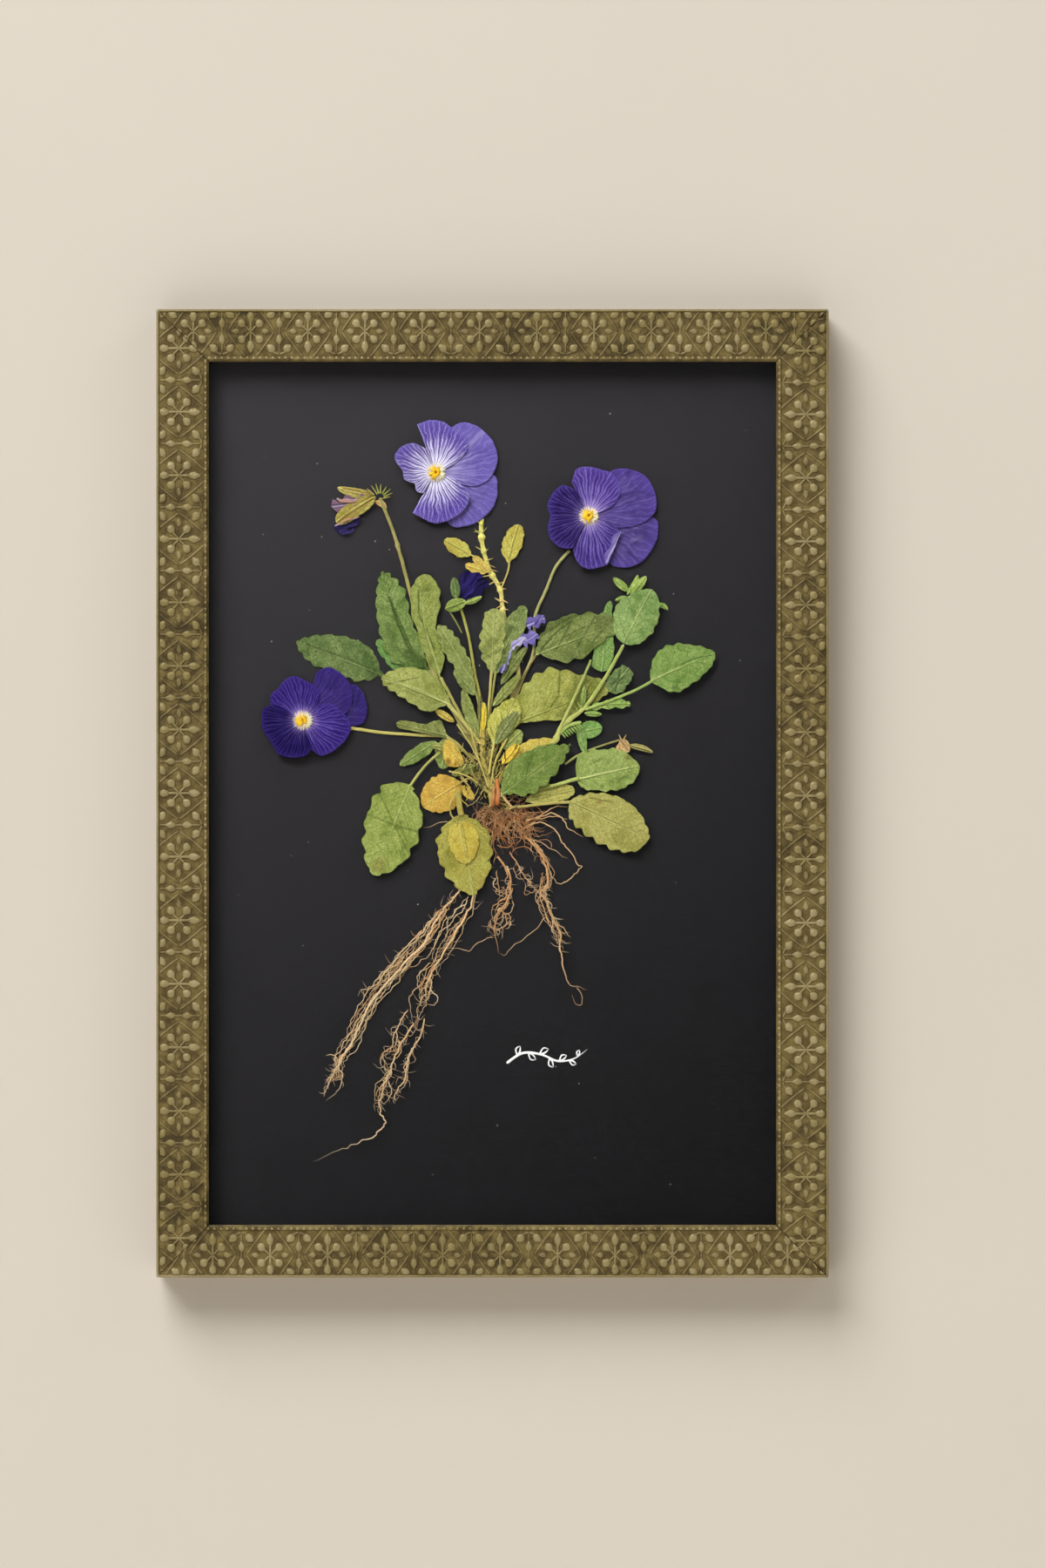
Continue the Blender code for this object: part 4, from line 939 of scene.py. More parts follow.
# crumpled petals and flaps: slot, lift, colour, base, tip, width left and right of the middle, bend
SCRAPS = {
    "petal_flap": (VIOLET, 2.7, (132, 118, 182), (49.4, 98.4), (55.4, 113.2), 5.2, 0.5, 0),
    "petal_scrap_upper": (LILAC, 3, (112, 102, 170), (14.6, 72.4), (22.6, 75.2), 6.4, 5.6, 0),
    "petal_scrap_tip": (LILAC, 3.2, (98, 84, 158), (18.6, 72), (22, 76.8), 3, 3, 0.3),
    "petal_scrap_middle": (LILAC, 2.9, (124, 114, 182), (13, 64.6), (19.4, 68.6), 7.6, 6.6, 0),
    "petal_scrap_white": (LILAC, 3.1, (186, 180, 214), (8, 62.6), (14.6, 67), 3.8, 3.8, 0.4),
    "petal_scrap_low": (LILAC, 3.1, (104, 92, 158), (3.4, 52), (5.8, 55.6), 3, 3, 0),
    "petal_scrap_shred": (LILAC, 3, (150, 142, 196), (6.4, 55.4), (8.4, 62.4), 1.3, 1.3, 0.3),
    "bud_petal_back": (INDIGO, 1.8, (34, 26, 82), (-13.6, 83.8), (-10.8, 96), 7, 6.6, 0),
    "bud_petal_middle": (INDIGO, 2, (38, 28, 98), (-13.2, 84), (-5.8, 95.2), 7.6, 7.6, 0.3),
    "bud_petal_front": (INDIGO, 2.3, (26, 18, 70), (-13.4, 83.8), (-2, 91.6), 6, 7.2, -0.4),
    "bud_petal_fold": (INDIGO, 2.5, (48, 38, 108), (-12.6, 84.4), (-7, 90.4), 2.2, 2.6, -0.5),
    "wilted_crumple": (WITHERED, 1.6, (132, 100, 122), (-54.6, 125.4), (-69.4, 123.4), 8, 9, 0.6),
    "wilted_crumple_rim": (WITHERED, 2.1, (184, 140, 120), (-58, 126.6), (-67.4, 126.8), 2.6, 1.6, 0.6),
    "wilted_petal_dark": (INDIGO, 1.2, (50, 44, 92), (-57, 118), (-68, 113.2), 4.4, 6.8, 0),
    "wilted_petal_tip": (INDIGO, 1.4, (64, 56, 110), (-59.6, 113.4), (-66.2, 112), 2, 2.4, 0.3),
    "wilted_lip": (WITHERED, 2.2, (206, 158, 116), (-57.4, 119), (-68, 115), 1.2, 1.2, -0.6),
}

SCRAP_NODES = {"bud_petal_middle": ["bud"], "wilted_crumple": ["wilted_flower"]}


def folds_of(draw, slot, base, tip, width):
    """Four folds along a crumpled petal. The last one is pale, but not on a dark petal."""
    folds = []
    for fold in range(4):
        aside = draw.uniform(-0.3, 0.3) * width
        kind = PALE if fold == 3 and slot != INDIGO else DARK
        folds.append((kind, draw.uniform(0.35, 0.6), draw.uniform(0.5, 0.9),
                      (base[0] + aside, base[1] - 0.3 * aside), (tip[0] - aside * 0.6, tip[1] + aside * 0.3)))
    return folds


def make_scraps():
    """The crumpled petals of the bud and the wilted flower, and loose flaps, with torn and folded edges."""
    for number, (name, (slot, lift, colour, base, tip, left, right, bend)) in enumerate(SCRAPS.items()):
        bm = plant_mesh()
        folds = folds_of(random.Random(name), slot, base, tip, (left + right) / 2)
        torn_left = [left / 2 * share for share in (0.5, 1.1, 0.62, 0.98, 0.3)]
        torn_right = [right / 2 * share for share in (0.95, 0.55, 1.08, 0.6, 0.7)]
        blade(bm, base, tip, torn_left, torn_right, bend, 3, 0.12 * min(left, right), lift, colour, folds,
              crumple=3.0, seed=number + 71.0)
        lie = bm.verts.layers.float_vector["lie"]
        for vert in bm.verts:
            along, across, edge = vert[lie]
            vert[lie] = (across * 0.16 + 0.02 * along, 0.35 + 0.5 * edge, 16.0)
        finish_plant(name, bm, slot, slot, SCRAP_NODES.get(name, ()), thick=0.1)


# ---------------------------------------------------------------- stalks

# the main stalks, by node: start and end width, colour, end colour, swellings, route
STALKS = {
    "crown_stem": (2, 3, (198, 178, 84), (168, 142, 62), ((0.3, 0.2, 2), (0.75, 0.3, 2.5)),
        ((-4.1, 39.3), (-4.3, 27), (-4, 15), (-1.6, 4), (0.2, -5.5))),
    "stalk_top_flower": (1.9, 1.8, (226, 222, 116), (244, 222, 146), ((0.13, 0.8, 1.3), (0.2, 0.5, 1),
        (0.32, 0.7, 1.3), (0.4, 0.6, 1), (0.5, 0.5, 1)), ((-4.6, 118.5), (-4.9, 112.6), (-3.9, 104.4),
        (-1, 95.4), (3.3, 87.5), (4.4, 79), (7.6, 66), (10.9, 54.3), (9.6, 44.9), (4, 30), (-1.6, 16))),
    "stalk_right_flower": (1.3, 1.3, (176, 176, 116), (172, 166, 104), (), ((33.3, 104.8), (27.3, 97.7),
        (22.5, 86.4), (18.3, 76.3), (18, 66), (17, 58.5), (12.9, 49), (7.6, 36), (2.6, 22), (-1, 12))),
    "stalk_left_flower": (1.4, 1.2, (204, 192, 110), (182, 170, 90), ((0.02, 0.5, 1),), ((-61.5, 28.2),
        (-53.5, 26.9), (-46.8, 26), (-31.8, 25), (-18.7, 23.6), (-9.4, 15), (-4.6, 8))),
    "stalk_wilted_flower": (1.4, 1.9, (150, 142, 84), (170, 162, 96), ((0.21, 0.55, 1.6),),
        ((-48.6, 127.4), (-42.6, 112), (-39.4, 101.2), (-35.6, 87), (-29.6, 66), (-25.4, 52), (-15, 32),
        (-6, 18))),
    "stalk_bud": (1.2, 1.4, (166, 168, 80), (182, 172, 84), (), ((-14, 80.5), (-10.4, 67.8),
        (-7.8, 52.4), (-5.2, 39.3), (-4.6, 24))),
    "branch_right": (2.4, 1.4, (206, 198, 110), (158, 178, 96), ((0.38, 0.5, 2), (0.56, 0.4, 1.6)),
        ((4.5, 8), (17, 14.5), (26.3, 21.6), (30, 29), (39.7, 37), (48.7, 50), (56.6, 64.2))),
}

# thin leaf stalks: lift, start and end width, colour, end colour, route
PETIOLES = {
    "petiole_second_branch": (2.7, 1.7, 1.2, (188, 196, 110), (150, 172, 90), ((29.3, 28.5),
        (35.4, 41.5), (42.6, 57.6))),
    "petiole_far_right": (2.4, 1.6, 1.3, (168, 190, 100), (140, 172, 84), ((39.7, 35.9), (57.8, 42.7),
        (70.5, 49.2))),
    "petiole_low_tan": (2, 1.1, 1.6, (190, 176, 96), (182, 170, 94), ((5.5, -6.5), (20, -4.9),
        (35.5, -3.6))),
    "petiole_low_light": (2.3, 1.2, 2, (176, 184, 100), (170, 186, 100), ((22, 2.1), (29, 4), (37.6, 6.6))),
    "petiole_seed": (1.2, 1.2, 0.9, (150, 160, 84), (140, 136, 76), ((31.1, 12.5), (39.7, 17.8),
        (54.9, 23.1))),
    "petiole_bottom_left": (1.7, 1.3, 1.5, (176, 174, 96), (160, 168, 84), ((-22.5, 18), (-29.6, 11.2),
        (-36.5, 1.8))),
    "petiole_bottom_strap": (2.2, 2.6, 3.4, (170, 156, 76), (176, 160, 78), ((-14.6, 2), (-14.4, -4),
        (-13.4, -10))),
    "petiole_bottom_curl": (2.5, 0.8, 0.9, (192, 176, 96), (190, 176, 92), ((-14, 2.5), (-18, -4),
        (-18, -9), (-14.8, -13))),
    "petiole_left_broad": (2.7, 2.2, 1.5, (188, 186, 110), (196, 182, 100), ((-19.4, 38.6), (-12, 30),
        (-5, 21))),
    "petiole_bud_side": (1.9, 0.9, 0.7, (140, 148, 80), (150, 148, 80), ((-19, 79), (-15.8, 74),
        (-13.2, 68.8))),
    "petiole_left_spoon": (2.2, 1.8, 1.3, (168, 168, 92), (180, 168, 90), ((-22.6, 50), (-15, 36),
        (-6.4, 20))),
    "petiole_left_tall": (1.3, 2, 1.3, (128, 142, 78), (160, 150, 80), ((-27.6, 53), (-18, 38), (-7, 19))),
    "petiole_left_low": (0.7, 1.5, 1.2, (130, 146, 82), (140, 142, 80), ((-46.4, 50.4), (-38, 47),
        (-30, 42))),
    "petiole_centre_left": (2.6, 1.2, 1, (150, 154, 86), (176, 166, 90), ((-8.2, 47.6), (-5.6, 36),
        (-4.4, 22))),
    "petiole_centre_torn": (2.1, 1.5, 1.2, (186, 182, 104), (190, 176, 92), ((-0.4, 53), (-1.6, 38),
        (-3.2, 20))),
    "petiole_centre_back": (1.5, 1.3, 1.1, (160, 160, 86), (176, 160, 86), ((1.4, 53), (-0.4, 40),
        (-2.6, 22))),
    "petiole_right_folded": (1.4, 1, 0.9, (146, 126, 72), (160, 146, 84), ((19.4, 60.4), (13, 50),
        (6, 34), (-1, 16))),
    "petiole_right_big": (1.7, 1.6, 1.2, (196, 190, 104), (196, 178, 92), ((12, 31.4), (6, 24), (0, 10))),
    "petiole_centre_low": (3.1, 1, 1.3, (210, 202, 118), (206, 188, 100), ((5, 31), (0.6, 21.4),
        (-1.6, 8))),
    "petiole_low_dark": (3, 1.1, 1.4, (196, 190, 104), (190, 170, 84), ((8, 2.2), (3.6, -1), (1.4, -3.4))),
    "petiole_low_yellow": (2.3, 1.2, 1.2, (214, 196, 100), (206, 184, 92), ((10.6, 15.6), (5, 10),
        (0.8, 2))),
    "petiole_orange": (1.4, 1, 1.2, (206, 176, 92), (196, 168, 86), ((-15, 4), (-9, 6.6), (-2.6, 4))),
    "petiole_strap": (1.5, 1.4, 1.2, (168, 164, 92), (186, 168, 90), ((-20, 24.4), (-11, 17), (-3, 7))),
    "petiole_strap_lower": (1.1, 1.1, 1.1, (160, 164, 86), (180, 164, 88), ((-25, 22), (-14, 14),
        (-3.4, 4))),
    "petiole_stem_left": (1, 0.8, 0.8, (206, 196, 104), (214, 192, 106), ((-10.4, 103.2), (-7, 101.6),
        (-3.2, 99.2))),
    "petiole_stem_right": (1, 1.1, 0.7, (206, 190, 100), (222, 200, 116), ((7.4, 101), (6.4, 95),
        (3.6, 88))),
    "petiole_pale_left": (2.9, 0.9, 0.7, (214, 202, 122), (206, 186, 98), ((-15.4, 30), (-9, 20), (-4, 9))),
    "petiole_pale_right": (3.2, 0.8, 0.7, (220, 206, 120), (206, 184, 98), ((6.4, 24), (1.4, 14),
        (-0.8, 3))),
    "petiole_pale_low": (2.8, 0.8, 0.6, (220, 202, 116), (206, 184, 96), ((-19, 9.6), (-10, 7), (-2, 0))),
    "petiole_pale_steep": (3.3, 0.8, 0.8, (216, 204, 120), (206, 186, 98), ((-9.6, 28), (-6.4, 16),
        (-1.6, 2))),
}

# whiskers on the leafy stem and round the sepals: lift, width, colour, then each one's route
WHISKERS = (
    (1, 0.5, (214, 206, 110), ((-4.8, 104.8), (-7.6, 106.4)), ((-4.4, 107), (-6.4, 109.4)), ((-4.2, 103),
        (-1.6, 105.6))),
    (1, 0.6, (220, 200, 110), ((-3, 100), (0.4, 101.4))),
    (1, 0.5, (220, 196, 108), ((-2.8, 98.8), (1.4, 97.2))),
    (1.1, 0.6, (226, 196, 120), ((-1.6, 96.6), (2.4, 95.4)), ((-0.6, 94), (-5.2, 93.2))),
    (1.1, 0.6, (230, 196, 126), ((1, 91.4), (-2.6, 89.2))),
    (1.1, 0.6, (230, 200, 130), ((1.8, 90.2), (5.6, 91.2))),
    (1.1, 0.5, (230, 200, 130), ((2.6, 88.6), (6, 88))),
    (1.1, 0.9, (232, 196, 134), ((3.8, 83.4), (6.9, 82))),
    (1.1, 0.8, (232, 196, 134), ((4, 82.4), (0.8, 84.2))),
    (1.1, 0.7, (232, 196, 134), ((4, 81), (1.4, 79.6))),
    (1.1, 0.6, (232, 200, 136), ((4.4, 79.4), (7, 79))),
    (1, 0.5, (200, 200, 104), ((-5.4, 111.4), (-7.8, 114)), ((-4.6, 112), (-2.4, 114.6))),
    (1, 0.5, (206, 200, 104), ((-5, 113), (-8.2, 112.6)), ((-4.8, 114.6), (-3.6, 118)), ((-4.8, 115.2),
        (-6.6, 117.4))),
    (1.9, 0.7, (176, 176, 86), ((-49.6, 128.6), (-52.4, 132.8))),
    (1.9, 0.7, (180, 180, 86), ((-49, 129), (-50.4, 133.6))),
    (1.9, 0.7, (168, 176, 80), ((-48.4, 129), (-48.2, 133.4))),
    (1.9, 0.7, (160, 176, 76), ((-47.6, 128.8), (-45.6, 132.4))),
    (1.9, 0.7, (160, 170, 76), ((-47.2, 128.2), (-43.8, 131.2))),
    (1.9, 0.6, (170, 170, 80), ((-47, 127.6), (-42.8, 129.6))),
    (1.9, 0.6, (176, 170, 84), ((-47.4, 127), (-43.8, 127.8))),
    (1.9, 0.8, (186, 170, 90), ((-51, 128.4), (-54.4, 131.4))),
    (1.5, 0.6, (216, 176, 110), ((56.4, 23), (57.6, 25.4))),
    (1.5, 0.6, (220, 190, 140), ((55.4, 23.2), (54.4, 25.6))),
    (2.3, 0.6, (168, 190, 100), ((38, 36.8), (36.4, 39.6))),
    (2.3, 0.6, (176, 190, 100), ((36.8, 35.4), (35, 37.8))),
    (2.3, 0.5, (176, 190, 100), ((30, 30), (33.2, 33.4)), ((31.2, 30.4), (31.6, 34))),
)

# the fringed stipule on the right branch: where its first finger starts, how far off the last one does, and
# how many it has
STIPULE_FIRST, STIPULE_SPAN, STIPULE_FINGERS = (29.4, 26.4), (7.6, 3.4), 8


def make_whiskers():
    """The short thorns and whiskers, and the fringed stipule, as one piece."""
    bm = plant_mesh()
    number = 0
    for lift, width, colour, *routes in WHISKERS:
        for route in routes:
            stem(bm, route, width, width * 0.5, lift, colour, None, 0.5, wiggle=0.1, sides=6, step=0.4,
                 seed=number + 3.0, ribs=0.0, point=True)
            number += 1
    for finger in range(STIPULE_FINGERS):
        share = finger / (STIPULE_FINGERS - 1)
        start = (STIPULE_FIRST[0] + STIPULE_SPAN[0] * share, STIPULE_FIRST[1] + STIPULE_SPAN[1] * share)
        stem(bm, (start, (start[0] + 2.2, start[1] - 2.8 + 0.8 * share)), 1.0, 0.6, 2.2, (146, 180, 92), None,
             0.3, sides=8, step=0.4, seed=finger + 9.0, ribs=0.0, point=True)
    stem(bm, ((28.4, 25.4), (32.6, 29.0), (38.4, 30.6)), 2.0, 1.4, 2.3, (164, 190, 100), None, 0.3, sides=10)
    finish_plant("whiskers", bm, "stem", "stem")


def make_stalks():
    """The main stalks, the thin leaf stalks and the whiskers."""
    for number, (node, (first, last, colour, end_colour, swell, route)) in enumerate(STALKS.items()):
        bm = plant_mesh()
        stem(bm, route, first, last, lift_of(node), colour, end_colour, 0.42, swell, wiggle=0.12, sides=14,
             seed=number + 1.0)
        finish_plant(f"{node}_stalk", bm, "stem", "stem", [node])
    for number, (name, (lift, first, last, colour, end_colour, route)) in enumerate(PETIOLES.items()):
        bm = plant_mesh()
        stem(bm, route, 0.84 * first, 0.84 * last, lift, colour, end_colour, 0.42, wiggle=0.16, sides=12,
             seed=number + 41.0)
        finish_plant(name, bm, "stem", "stem")
    make_whiskers()


# ---------------------------------------------------------------- roots

TAN = (244, 206, 154)
ORANGE = (222, 164, 106)
STRAW = (252, 232, 192)
MASS = ((218, 146, 84), (190, 118, 64), (224, 172, 112), (236, 190, 134), (132, 72, 38))
CHAFF = ((206, 186, 100), (176, 160, 80), (222, 200, 120), (140, 140, 66), (98, 94, 42), (70, 68, 32),
         (84, 92, 44), (190, 160, 60))

# main root strands for each bundle: width, end width, colour, end colour, route
ROOTS = {
    "root_left_outer": (
        (1.3, 0.8, TAN, STRAW, ((-3, -25), (-13.9, -41.9), (-19.9, -48.8), (-24, -54.9), (-29.3, -63.8),
            (-35.8, -71.1), (-43.5, -79.6), (-50.4, -87.3), (-56.5, -98.3), (-60.4, -107), (-66, -115.9),
            (-65.1, -121.5), (-66, -127), (-72.1, -132.4))),
        (0.9, 0.5, TAN, STRAW, ((-60.4, -107), (-66, -115.9), (-70, -124), (-73.2, -130.1))),
        (0.8, 0.4, TAN, STRAW, ((-30.1, -58.9), (-38.2, -66.6), (-42.3, -72.2), (-47.9, -78),
            (-52.4, -83.7), (-57.3, -84.5))),
        (0.6, 0.4, TAN, STRAW, ((-66, -115), (-68.4, -113.2), (-72, -113))),
    ),
    "root_left_inner": (
        (1.3, 0.8, TAN, TAN, ((-3, -27), (-8.2, -45.1), (-13.1, -55.7), (-19.2, -65.4), (-23.2, -71.8),
            (-27.3, -79.6), (-28.5, -85.3), (-31.3, -90.2), (-33.3, -101))),
        (0.9, 0.5, TAN, STRAW, ((-29.3, -96.8), (-31.1, -105.1), (-35.3, -111.7), (-36.7, -117.7),
            (-38.6, -124.7), (-42.3, -130.3), (-42.1, -134))),
        (1, 0.5, TAN, STRAW, ((-33.9, -99.1), (-39, -107), (-41.4, -112.1), (-43.7, -118.6),
            (-46, -124.2), (-48.3, -131.7), (-48.3, -138.2), (-46, -141.4), (-48.8, -145.2),
            (-51.6, -148), (-57.2, -150.3), (-61.9, -152.1), (-66.5, -154), (-77.6, -158.7))),
        (0.7, 0.4, TAN, STRAW, ((-36.3, -93.1), (-41.4, -101), (-43.2, -107.5), (-46.5, -111.7),
            (-46.7, -115.9), (-45.8, -121))),
    ),
    "root_centre": (
        (1.2, 0.7, ORANGE, ORANGE, ((2.1, -26.8), (7.1, -34.4), (7.8, -40), (6.7, -45.1), (3.6, -49.7),
            (1, -55), (1.4, -61.5), (2.5, -69.4))),
        (0.6, 0.4, ORANGE, TAN, ((2, -33), (2.2, -40), (3.5, -44), (6.5, -42))),
        (0.6, 0.35, ORANGE, TAN, ((3, -50), (6.4, -54), (4, -58), (-1.6, -57), (0.2, -52.8))),
    ),
    "root_right": (
        (1.3, 0.6, ORANGE, TAN, ((13.5, -18.3), (19.6, -24.9), (23.1, -32.6), (23.5, -39.4),
            (21.2, -42.8), (23.9, -49.4), (27.1, -55.8), (29.2, -61), (29, -67.3), (30.3, -75.6),
            (32.4, -81.5), (36.1, -83), (40.3, -85.3))),
        (0.8, 0.4, ORANGE, TAN, ((7.4, -24.9), (12, -32.9), (15.3, -37.8), (20.4, -43.6))),
    ),
}

# single threads away from the bundles: width, colour, route
THREADS = (
    (0.6, ORANGE, ((13.5, -13.5), (25, -7), (32.6, -5.4))),
    (0.5, ORANGE, ((13.5, -14.5), (24, -10), (32.6, -11.2))),
    (0.6, TAN, ((14, -12), (26.9, -8.9), (32.6, -14.6), (39.1, -19.1))),
    (0.6, TAN, ((12, -16), (19.3, -13.1), (25, -14.2), (28.8, -19.1), (31.4, -23), (36.4, -29.9),
        (38, -31.8), (35.7, -35.2), (30.3, -38.8), (26.9, -37), (24.2, -31.8), (24.6, -27.6))),
    (0.4, TAN, ((-6, -12), (-16, -11.6), (-23, -13), (-30, -15))),
    (0.35, STRAW, ((-5, -0.5), (-8, -4), (-11.5, -6))),
    (0.45, ORANGE, ((10, -9), (20, -3.6), (30, -3), (41, -3.8))),
    (0.4, TAN, ((16, -20), (21, -21), (27, -25), (33, -28))),
    (0.32, TAN, ((22.9, -53.1), (17.7, -59.4), (10.3, -64.7), (5.6, -69.4), (3, -68.9))),
    (0.32, TAN, ((0.4, -62), (-4.4, -63.1), (-9.1, -66.8), (-13.8, -67.3), (-24.3, -66.8), (-28.5, -67))),
    (0.32, TAN, ((36.1, -83.4), (38.2, -86.7), (38.7, -90.4), (36.1, -90.6), (34.4, -86.2))),
    (0.5, TAN, ((27.1, -55.8), (31, -59), (34, -62))),
)

# the red-brown neck between the crown and the roots: route, widths, lift, colours, wiggle and sides
NECK = (
    (((1.6, 6.4), (2.4, 1), (2, -5.4)), 1.5, 2.1, 3.3, (214, 136, 70), (184, 110, 60), 0.2, 14),
    (((0.2, 4), (0.6, 0), (0, -6)), 1.2, 1.6, 3.1, (206, 150, 84), (178, 100, 52), 0.2, 10),
    (((3.6, 1), (5.6, -3), (9, -6.6)), 1.6, 1.0, 2.8, (222, 190, 130), (214, 180, 120), 0.3, 10),
)

# how many strands and loops the tangle under the crown has, and how many dry scales crowd the crown
TANGLE_STRANDS, TANGLE_LOOPS, SCALES = 130, 54, 260

# how each bundle grows: the angle that its hairs point to, how far along its main strand it carries finer
# roots, how many of them there are for each millimetre, and where along the strand they may start
BUNDLES = {
    "root_left_outer": (232, 0.86, 0.25, 0.10),
    "root_left_inner": (248, 1.0, 0.32, 0.10),
    "root_centre": (268, 0.8, 0.30, 0.0),
    "root_right": (300, 0.64, 0.34, 0.0),
}


def rooted(bm, route, width, end_width, colour, end_colour, lift, wiggle, seed, sides=5, step=0.9):
    """A thin wavy root that ends in a point."""
    stem(bm, route, width, end_width, lift, colour, end_colour, 0.75, wiggle=wiggle, sides=sides, step=step,
         seed=seed, ribs=0.05, point=True)


def beside(route, offset, first, last, draw):
    """A route that keeps near another one, from share first to share last of it, and strays by offset."""
    count = max(3, int(route_length(route) * (last - first) / 7))
    made = []
    for k in range(count + 1):
        share = first + (last - first) * k / count
        u, v = route_place(route, share)
        side_u, side_v = route_side(route, share)
        stray = offset * (0.35 + 0.65 * math.sin(math.pi * k / count)) + draw.uniform(-0.7, 0.7)
        made.append((u + side_u * stray, v + side_v * stray))
    return made


def add_finer_roots(bm, draw, route, lift, count, clear, hairy):
    """Finer roots that run beside a strand, and only on its first part, which is hairy."""
    for extra in range(count):
        first = draw.uniform(clear, 0.75 * hairy)
        last = min(hairy, first + draw.uniform(0.12, 0.42))
        path = beside(route, draw.gauss(0, 2.4), first, last, draw)
        rooted(bm, path, draw.uniform(0.26, 0.62), 0.22, draw.choice((TAN, STRAW, ORANGE, ORANGE)),
               draw.choice((TAN, STRAW)), lift + draw.uniform(-0.5, 0.25), 1.3, draw.uniform(1, 99))


def add_root_hairs(bm, draw, route, lift, angle, hairy):
    """Short bent hairs off a strand, that point about the way of angle."""
    for extra in range(int(route_length(route) * 0.7)):
        start = route_place(route, draw.uniform(0.03, 1.04 * hairy))
        turn = math.radians(angle + draw.gauss(0, 55))
        reach = draw.uniform(1.6, 5.5)
        bow = turn + draw.uniform(-1.3, 1.3)
        path = (start, around(start, 0.5 * reach, turn), around(start, reach, bow))
        rooted(bm, path, draw.uniform(0.16, 0.3), 0.12, draw.choice((TAN, ORANGE, STRAW)), STRAW,
               lift + draw.uniform(-0.4, 0.2), 0.6, draw.uniform(1, 99), 4, 0.7)


def make_root_bundles():
    """The four bundles: their main strands, with finer roots and hairs about the first part of each."""
    for number, (node, strands) in enumerate(ROOTS.items()):
        angle, beard, crowd, clear = BUNDLES[node]
        draw = random.Random(node)
        bm = plant_mesh()
        lift = lift_of(node)
        for order, (width, end_width, colour, end_colour, route) in enumerate(strands):
            seed = number * 10 + order + 1.0
            rooted(bm, route, 0.68 * width, end_width, colour, end_colour, lift, 0.9, seed, 8)
            length = route_length(route)
            hairy = beard if order == 0 else min(0.9, 34 / length)
            count = int(length * hairy * (crowd if order == 0 else 0.2))
            add_finer_roots(bm, draw, route, lift, count, clear, hairy)
            add_root_hairs(bm, draw, route, lift, angle, hairy)
        finish_plant(f"{node}_strands", bm, "root", "root", [node])


def make_root_tangle():
    """The tangle under the crown: bent strands that fan down, and loops between them."""
    draw = random.Random("crown")
    bm = plant_mesh()
    for strand in range(TANGLE_STRANDS):
        start = (draw.gauss(4.5, 5.0), draw.gauss(-8.0, 3.0))
        angle = math.radians(draw.gauss(278, 44))
        reach = draw.uniform(7, 20)
        bow = draw.uniform(-1.3, 1.3)
        middle = (start[0] + 0.55 * reach * math.cos(angle), start[1] + 0.5 * reach * math.sin(angle))
        route = (start, middle, around(start, reach, angle + bow * 0.5))
        rooted(bm, route, draw.uniform(0.2, 0.42), 0.16, draw.choice(MASS), draw.choice((MASS[0], TAN)),
               draw.uniform(0.3, 1.9), 1.3, draw.uniform(1, 99), 4, 0.7)
    for loop in range(TANGLE_LOOPS):
        centre = (draw.gauss(8, 6.5), draw.gauss(-15, 5.5))
        size = draw.uniform(1.5, 5)
        first = draw.uniform(0, 6.28)
        turns = [first + k * 0.75 for k in range(6)]
        arc = [(centre[0] + size * math.cos(turn), centre[1] + 0.7 * size * math.sin(turn)) for turn in turns]
        rooted(bm, arc, draw.uniform(0.2, 0.42), 0.18, draw.choice(MASS), MASS[0], draw.uniform(0.6, 2.2),
               0.5, draw.uniform(1, 99), 4, 0.7)
    finish_plant("root_mass_strands", bm, "root", "root", ["root_mass"])


def make_threads():
    """Single threads away from the bundles, and the neck that joins the crown to the roots."""
    bm = plant_mesh()
    for number, (width, colour, route) in enumerate(THREADS):
        rooted(bm, route, width, width * 0.6, colour, TAN, 1.0, 0.9, number + 5.0, 6)
    for route, width, end_width, lift, colour, end_colour, wiggle, sides in NECK:
        stem(bm, route, width, end_width, lift, colour, end_colour, 0.4, wiggle=wiggle, sides=sides)
    finish_plant("root_threads", bm, "root", "root")


def make_chaff():
    """Dry scales and stalk ends that crowd the crown."""
    bm = plant_mesh()
    draw = random.Random("chaff")
    for scale in range(SCALES):
        start = (draw.gauss(-2.5, 5.5), draw.gauss(8.0, 9.0))
        angle = math.radians(draw.choice((60, 110, 140, 80, 125, 35)) + draw.gauss(0, 14))
        end = around(start, draw.uniform(2.5, 8), angle)
        middle = ((start[0] + end[0]) / 2 + draw.uniform(-0.6, 0.6), (start[1] + end[1]) / 2)
        stem(bm, (start, middle, end), draw.uniform(0.35, 0.8), 0.3, draw.uniform(2.2, 3.3),
             draw.choice(CHAFF), None, 0.5, wiggle=0.3, sides=5, step=0.8, seed=draw.uniform(1, 99), ribs=0.0,
             point=True)
    finish_plant("crown_chaff", bm, "stem", "stem")


# ---------------------------------------------------------------- the frame's finishes


